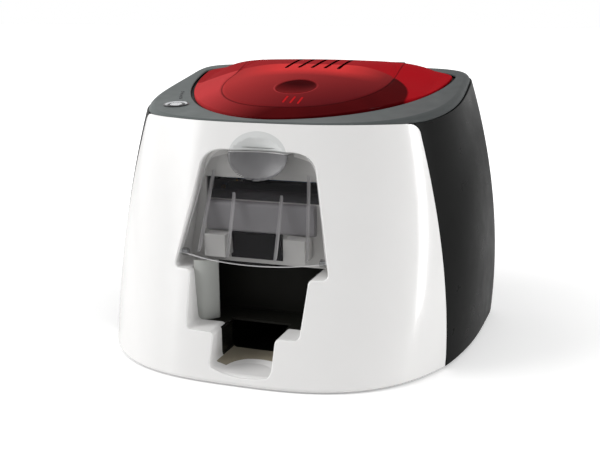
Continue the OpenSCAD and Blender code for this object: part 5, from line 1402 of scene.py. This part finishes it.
def white_housing():
    """Glossy white, with painted shade: the finger scoop is painted grey and the notch is painted dark behind its lip.
    """
    n = plastic("white_housing", (0.86, 0.853, 0.845), 0.17, 1400.0, 0.000012, 0.012)
    n.shader.inputs["Specular IOR Level"].default_value = 0.42
    white = n.shader.inputs["Base Color"].links[0].from_socket
    x, y, z = (n.coordinate(a) for a in "XYZ")
    # Painted shade: the finger scoop's dish is marked for a grey colour.
    dish = n.math("ADD", n.math("POWER", n.math("DIVIDE", x, SCOOP_WIDE * SCOOP_R * MM), 2.0),
                  n.math("POWER", n.math("DIVIDE", n.math("SUBTRACT", z, SCOOP_Z * MM), SCOOP_R * MM), 2.0))
    dish = n.math("MULTIPLY", n.math("LESS_THAN", dish, 1.0), n.math("LESS_THAN", y, 0.0))
    # Painted shade in the notch: its walls, and its floor behind the lip, are coloured dark.
    wall = n.math("GREATER_THAN", y, NOTCH_DARK_Y * MM)
    lip = n.math("ADD", n.math("POWER", n.math("SUBTRACT", x, ARC_X * MM), 2.0),
                 n.math("POWER", n.math("SUBTRACT", y, ARC_Y * MM), 2.0))
    behind = n.math("MULTIPLY", n.math("GREATER_THAN", lip, (ARC_R * MM) ** 2), n.math("GREATER_THAN", y, -0.122))
    flat = n.math("LESS_THAN", z, (NOTCH_Z + 1.2) * MM)
    dark = n.mix(flat, wall, behind)
    dark = n.math("MULTIPLY", dark, n.math("LESS_THAN", z, (BAY_FLOOR_Z - 0.6) * MM))
    dark = n.math("MULTIPLY", dark, within(n, y, -0.13, (NOTCH_BACK + 1) * MM))
    dark = n.math("MULTIPLY", dark, within(n, x, (NOTCH_X - NOTCH_HALF - 1) * MM, (NOTCH_X + NOTCH_HALF + 1) * MM))
    # Painted shade: grey over the finger scoop's dish.
    shade = n.mix(dish, white, (0.68, 0.69, 0.685, 1))
    # Painted shade colours of the notch: near black on its walls, dark brown on its floor.
    inner = n.mix(flat, (0.012, 0.0115, 0.01, 1), (0.34, 0.305, 0.235, 1))
    n.put(n.shader.inputs["Base Color"], n.mix(dark, shade, inner))
    return n.material


# Arc of the notch's lip, which bounds the painted shade on its floor.
ARC_X, ARC_Y, ARC_R = 9.3, -126.4, 24.5


def dark_housing():
    n = plastic("dark_housing", (0.011, 0.0112, 0.011), 0.3, 1100.0, 0.00002, 0.1)
    n.shader.inputs["Specular IOR Level"].default_value = 0.035
    return n.material


def grey_rim():
    """Satin grey plastic, with painted shade that darkens it towards the right."""
    n = plastic("grey_rim", (0.122, 0.136, 0.134), 0.42, 1300.0, 0.00002, 0.04, **{SPECULAR: 0.04})
    grey = n.shader.inputs["Base Color"].links[0].from_socket
    # Painted shade: the rim's grey darkens towards its right side.
    right = n.span(n.coordinate("X"), 0.0, 1.0, 0.05, 0.16)
    n.put(n.shader.inputs["Base Color"], n.mix(right, grey, (0.06, 0.064, 0.065, 1)))
    return n.material


# Lighter window of the cover over the ribbon bay: middle, reach and power of its outline
WINDOW_Y, WINDOW_X, WINDOW_REACH, WINDOW_POWER = 0.020, 0.104, 0.066, 2.6


def zone(n, x, y, half_x, half_y, middle_y, power):
    """Share of a rounded outline reached at a place: 1 on the outline."""
    across = n.math("POWER", n.math("ABSOLUTE", n.math("DIVIDE", x, half_x)), power)
    along = n.math("POWER", n.math("ABSOLUTE", n.math("DIVIDE", n.math("SUBTRACT", y, middle_y), half_y)), power)
    return n.math("POWER", n.math("ADD", across, along), 1 / power)


def red_cover():
    """Translucent red, with painted light and shade: bright over the ribbon bay, deep over the opaque frame at the rear
    and right.
    """
    n = Nodes("red_cover")
    x, y = n.coordinate("X"), n.coordinate("Y")
    wavy = n.math("MULTIPLY", n.math("SUBTRACT", n.noise(9.0, 3.0), 0.5), 0.02)
    # Painted light: inside the groove the colour falls from the upper left to the lower right, and outside it as well
    slant = n.math("SUBTRACT", n.math("MULTIPLY", y, 0.9), n.math("MULTIPLY", x, 0.75))
    slant = n.math("ADD", slant, wavy)
    inner = n.mix(n.span(slant, 0.0, 1.0, -0.065, 0.085), (0.07, 0.004, 0.007, 1), (0.46, 0.036, 0.037, 1))
    outer = n.mix(n.span(n.math("ADD", slant, n.math("MULTIPLY", x, -0.5)), 0.0, 1.0, -0.042, 0.12),
                  (0.065, 0.001, 0.002, 1), (0.58, 0.052, 0.056, 1))
    groove = zone(n, x, n.math("MINIMUM", y, LID_Y * MM), GROOVE_HALF * MM, GROOVE_FRONT * MM, LID_Y * MM, 2.0)
    glow = n.mix(n.span(groove, 0.0, 1.0, 0.985, 1.0), inner, outer)
    strip = n.math("MULTIPLY", n.span(y, 0.0, 1.0, 0.042, 0.062), n.span(n.math("ABSOLUTE", x), 1.0, 0.0, 0.03, 0.075))
    glow = n.mix(strip, glow, (0.76, 0.045, 0.045, 1))
    right = n.math("MAXIMUM", x, n.math("MULTIPLY", x, -0.7))
    window = zone(n, right, y, WINDOW_X, WINDOW_REACH, WINDOW_Y, WINDOW_POWER)
    front = n.span(y, 0.0, 1.0, 0.0, 0.03)
    beyond = n.math("MULTIPLY", n.span(window, 0.0, 1.0, 0.99, 1.01), front)
    frame_red = n.mix(n.span(x, 0.0, 1.0, -0.05, 0.09), (0.36, 0.018, 0.022, 1), (0.42, 0.006, 0.012, 1))
    shade = n.mix(beyond, glow, frame_red)
    # Painted shade: a dark line along the ring groove.
    ring = n.math("SUBTRACT", 1.0, n.span(n.math("ABSOLUTE", n.math("SUBTRACT", groove, 1.0)), 0.0, 1.0, 0.004, 0.012))
    shade = n.mix(n.math("MULTIPLY", ring, 0.65), shade, (0.03, 0.002, 0.003, 1))
    # Painted shade in the finger dimple: darker towards its rear, lighter towards its front.
    dimple = zone(n, n.math("SUBTRACT", x, DIMPLE_X * MM), y, DIMPLE_R * MM, DIMPLE_R * MM, DIMPLE_Y * MM, 2.0)
    hollow = n.span(dimple, 1.0, 0.0, 0.94, 1.0)
    dimple_shade = n.mix(n.span(y, 0.0, 1.0, -0.006, 0.022), (0.24, 0.012, 0.014, 1), (0.045, 0.002, 0.003, 1))
    shade = n.mix(hollow, shade, dimple_shade)
    # Painted highlight: a lighter red line round the dimple's front lip.
    lip = n.math("SUBTRACT", 1.0, n.span(n.math("ABSOLUTE", n.math("SUBTRACT", dimple, 1.04)), 0.0, 1.0, 0.02, 0.05))
    lip = n.math("MULTIPLY", lip, n.span(y, 0.7, 0.0, 0.0, 0.02))
    shade = n.mix(lip, shade, (0.5, 0.05, 0.055, 1))
    n.put(n.shader.inputs["Base Color"], n.mix(n.span(n.noise(22.0, 4.0), 0.0, 0.1), shade, (0.3, 0.01, 0.012, 1)))
    n.put(n.shader.inputs["Roughness"], n.span(n.noise(70.0, 4.0), 0.1, 0.15))
    n.shader.inputs["Specular IOR Level"].default_value = 0.0
    n.shader.inputs["Coat Weight"].default_value = 0.03
    n.shader.inputs["Coat Roughness"].default_value = 0.04
    n.bump(n.noise(700.0, 2.0), 0.2, 0.00001)
    return n.material


def smoke_sheet():
    """Smoked clear sheet of the hood."""
    n = plastic("smoke_sheet", (0.02, 0.019, 0.021), 0.16, 900.0, 0.00001, 0.05, **{SPECULAR: 0.2})
    n.put(n.shader.inputs["Alpha"], n.span(n.noise(18.0, 3.0), 0.17, 0.22))
    return n.material


def smoke_edge():
    """The hood's edges and ribs, where light gathers in the clear plastic."""
    n = plastic("smoke_edge", (0.86, 0.85, 0.86), 0.12, 900.0, 0.00001, 0.05)
    n.put(n.shader.inputs["Alpha"], n.span(n.noise(30.0, 3.0), 0.6, 0.72))
    return n.material


def smoke_bowl():
    """Frosted finger bowl of the hood."""
    n = plastic("smoke_bowl", (0.17, 0.168, 0.175), 0.4, 1500.0, 0.00002, 0.05)
    n.put(n.shader.inputs["Alpha"], n.span(n.noise(24.0, 3.0), 0.62, 0.7))
    return n.material


def ribbon_film():
    """Dye film in broad panels along its length."""
    n = Nodes("ribbon_film")
    y = n.coordinate("Y")
    wave = n.math("FRACT", n.math("MULTIPLY", y, 13.0))
    ramp = n.new("ShaderNodeValToRGB")
    ramp.color_ramp.interpolation = "CONSTANT"
    stops = ramp.color_ramp.elements
    stops[0].color = (0.3, 0.02, 0.12, 1)
    stops[1].position = 0.34
    stops[1].color = (0.02, 0.1, 0.25, 1)
    stops.new(0.67).color = (0.03, 0.03, 0.035, 1)
    n.put(ramp.inputs[0], wave)
    n.put(n.shader.inputs["Base Color"], ramp.outputs[0])
    n.put(n.shader.inputs["Roughness"], n.span(n.noise(80.0), 0.18, 0.3))
    n.bump(n.noise(120.0, 3.0, (6.0, 1.0, 1.0)), 0.3, 0.00004)
    return n.material


def board_green():
    """Solder-masked board with faint tracks."""
    n = Nodes("board_green")
    brick = n.new("ShaderNodeTexBrick")
    n.put(brick.inputs["Vector"], n.place)
    brick.inputs["Scale"].default_value = 120.0
    brick.inputs["Mortar Size"].default_value = 0.03
    brick.inputs["Color1"].default_value = (0.012, 0.12, 0.045, 1)
    brick.inputs["Color2"].default_value = (0.016, 0.14, 0.055, 1)
    brick.inputs["Mortar"].default_value = (0.03, 0.2, 0.09, 1)
    n.put(n.shader.inputs["Base Color"], brick.outputs["Color"])
    n.put(n.shader.inputs["Roughness"], n.span(n.noise(40.0), 0.25, 0.4))
    n.bump(brick.outputs["Fac"], 0.25, 0.00003)
    return n.material


def rubber(name, color):
    n = plastic(name, color, 0.7, 2200.0, 0.00005, 0.12)
    return n.material


def make_materials():
    inner = plastic("inner_dark", (0.009, 0.009, 0.0075), 0.55, 900.0, 0.00003, 0.12, **{SPECULAR: 0.08})
    pale = plastic("inner_pale", (0.74, 0.73, 0.715), 0.4, 900.0, 0.00003, 0.03)
    guide = plastic("guide_grey", (0.36, 0.35, 0.365), 0.4, 900.0, 0.00003, 0.04)
    # Painted shade: a darker copy of the pale inner plastic, for the bay's corner plate.
    corner = plastic("corner_pale_shaded", (0.42, 0.43, 0.41), 0.45, 900.0, 0.00003, 0.03)
    block = plastic("block_dark", (0.007, 0.007, 0.0075), 0.3, 900.0, 0.00003, 0.08, **{SPECULAR: 0.1})
    nylon = plastic("gear_nylon", (0.74, 0.71, 0.62), 0.4, 700.0, 0.00003, 0.04)
    silver = plastic("button_silver", (0.52, 0.53, 0.55), 0.24, 1600.0, 0.000015, 0.04, 0.5, Metallic=0.35)
    lens = plastic("lamp_lens", (0.04, 0.042, 0.045), 0.12, 900.0, 0.00001, 0.03, 0.5)
    black = plastic("trim_black", (0.006, 0.006, 0.007), 0.2, 900.0, 0.00001, 0.03, **{SPECULAR: 0.15})
    ceramic = plastic("head_ceramic", (0.42, 0.26, 0.15), 0.35, 700.0, 0.00002, 0.1)
    liner = plastic("cover_frame", (0.16, 0.004, 0.006), 0.3, 900.0, 0.00002, 0.08)
    bars = plastic("cover_bars", (0.56, 0.016, 0.02), 0.3, 900.0, 0.00002, 0.04, **{SPECULAR: 0.0})
    return {
        "housing_white": white_housing(),
        "housing_dark": dark_housing(),
        "rim_grey": grey_rim(),
        "cover_red": liner.material,
        "cover_skin": red_cover(),
        "cover_bars": bars.material,
        "smoke_clear": smoke_sheet(),
        "smoke_edge": smoke_edge(),
        "smoke_bowl": smoke_bowl(),
        "corner_pale_shaded": corner.material,
        "block_dark": block.material,
        "guide_grey": guide.material,
        "inner_dark": inner.material,
        "inner_pale": pale.material,
        "steel": metal("steel", (0.56, 0.57, 0.58), 0.32, (1.0, 1.0, 8.0)).material,
        "aluminium": metal("aluminium", (0.74, 0.75, 0.76), 0.28, (8.0, 1.0, 1.0)).material,
        "brass": metal("brass", (0.72, 0.5, 0.2), 0.3).material,
        "roller_rubber": rubber("roller_rubber", (0.035, 0.035, 0.038)),
        "foot_rubber": rubber("foot_rubber", (0.012, 0.012, 0.012)),
        "gear_nylon": nylon.material,
        "button_silver": silver.material,
        "lamp_lens": lens.material,
        "trim_black": black.material,
        "board_green": board_green(),
        "ribbon_dark": ribbon_film(),
        "ceramic": ceramic.material,
    }


def dress_nodes(materials):
    """Gives each solid that shows the material of its slot in the record."""
    for part in frame["record"]["subparts"]:
        obj = frame["nodes"][part["node"]]
        material = materials[part["material_slot"]]
        obj.data.materials.clear()
        obj.data.materials.append(material)


CAMERA_AT = (314.2, -855.4, 332.4)
CAMERA_YAW, CAMERA_PITCH, CAMERA_ROLL = 19.563, 13.864, -0.515
CAMERA_LENS = 59.68


def camera():
    yaw, pitch, roll = (math.radians(v) for v in (CAMERA_YAW, CAMERA_PITCH, CAMERA_ROLL))
    ahead = Vector((-math.sin(yaw) * math.cos(pitch), math.cos(yaw) * math.cos(pitch), -math.sin(pitch)))
    level_right = Vector((math.cos(yaw), math.sin(yaw), 0))
    level_up = level_right.cross(ahead)
    right = level_right * math.cos(roll) + level_up * math.sin(roll)
    up = level_up * math.cos(roll) - level_right * math.sin(roll)
    data = bpy.data.cameras.new("camera")
    data.lens = CAMERA_LENS
    data.sensor_width = 36.0
    data.sensor_fit = "HORIZONTAL"
    data.clip_start, data.clip_end = 0.05, 20.0
    obj = bpy.data.objects.new("camera", data)
    bpy.context.scene.collection.objects.link(obj)
    matrix = Matrix((right, up, -ahead)).transposed().to_4x4()
    matrix.translation = Vector(CAMERA_AT) * MM
    obj.matrix_world = matrix
    bpy.context.scene.camera = obj


def world():
    """White to the camera and in reflections, softer for the light it gives."""
    scene_world = bpy.data.worlds.new("studio")
    bpy.context.scene.world = scene_world
    scene_world.use_nodes = True
    tree = scene_world.node_tree
    back = tree.nodes["Background"]
    path = tree.nodes.new("ShaderNodeLightPath")
    seen = None
    for name in ("Is Camera Ray", "Is Glossy Ray", "Is Transmission Ray"):
        if seen is None:
            seen = path.outputs[name]
            continue
        add = tree.nodes.new("ShaderNodeMath")
        add.operation = "MAXIMUM"
        tree.links.new(seen, add.inputs[0])
        tree.links.new(path.outputs[name], add.inputs[1])
        seen = add.outputs[0]
    span = tree.nodes.new("ShaderNodeMapRange")
    tree.links.new(seen, span.inputs["Value"])
    span.inputs["To Min"].default_value = WORLD_LIGHT
    span.inputs["To Max"].default_value = 1.0
    back.inputs["Color"].default_value = (1, 1, 1, 1)
    tree.links.new(span.outputs["Result"], back.inputs["Strength"])


WORLD_LIGHT = 0.3


def floor():
    """Pale floor that keeps the printer's shadow and reads white to the camera."""
    mesh = bpy.data.meshes.new("floor")
    reach = 6.0
    mesh.from_pydata([(-reach, -reach, 0), (reach, -reach, 0), (reach, reach, 0), (-reach, reach, 0)], [], [(0, 1, 2, 3)])
    obj = bpy.data.objects.new("floor", mesh)
    bpy.context.scene.collection.objects.link(obj)
    n = Nodes("floor")
    n.put(n.shader.inputs["Base Color"], n.mix(n.noise(3.0), (0.9, 0.9, 0.9, 1), (0.92, 0.92, 0.915, 1)))
    n.shader.inputs["Roughness"].default_value = 0.75
    n.shader.inputs["Specular IOR Level"].default_value = 0.1
    path = n.new("ShaderNodeLightPath")
    n.shader.inputs["Emission Color"].default_value = (1, 1, 1, 1)
    seen = n.math("MAXIMUM", path.outputs["Is Camera Ray"], path.outputs["Is Transmission Ray"])
    away = n.new("ShaderNodeVectorMath", operation="LENGTH")
    n.put(away.inputs[0], n.place)
    glow = n.span(away.outputs["Value"], FLOOR_GLOW, 1.0, 0.25, 0.9)
    n.put(n.shader.inputs["Emission Strength"], n.math("MULTIPLY", seen, glow))
    mesh.materials.append(n.material)


FLOOR_GLOW = 0.35


def lamp(name, place, target, size, power, color=(1, 1, 1)):
    data = bpy.data.lights.new(name, "AREA")
    data.shape = "RECTANGLE"
    data.size, data.size_y = size
    data.energy = power
    data.color = color
    obj = bpy.data.objects.new(name, data)
    bpy.context.scene.collection.objects.link(obj)
    obj.location = place
    obj.rotation_euler = (Vector(target) - Vector(place)).to_track_quat("-Z", "Y").to_euler()
    return obj


def lights():
    lamp("key", (-1.6, -0.85, 1.0), (0, 0, 0.12), (1.2, 1.0), 29.0)
    lamp("side", (1.6, -0.1, 0.5), (0, 0, 0.12), (0.2, 1.2), 14.0)
    lamp("top", (0.1, 0.2, 1.6), (0, 0.05, 0.1), (1.4, 1.0), 4.0)


def main():
    camera()
    materials = make_materials()
    dress_nodes(materials)
    front_shell(materials["housing_white"])
    rear_shell(materials["housing_dark"])
    top_rim([materials[k] for k in ("rim_grey", "inner_dark")])
    lid_shell([materials[k] for k in ("cover_skin", "cover_bars")])
    control_button([materials[k] for k in ("button_silver", "trim_black")])
    button_ring([materials[k] for k in ("trim_black", "button_silver")])
    button_spring(materials["steel"])
    feeder_panel([materials[k] for k in ("inner_pale", "block_dark")])
    card_guide(materials["guide_grey"])
    bay_corner(materials["corner_pale_shaded"])
    feeder_hood([materials[k] for k in ("smoke_clear", "smoke_edge", "smoke_bowl")])
    world()
    floor()
    lights()
    bpy.context.scene.view_settings.view_transform = "Standard"


main()
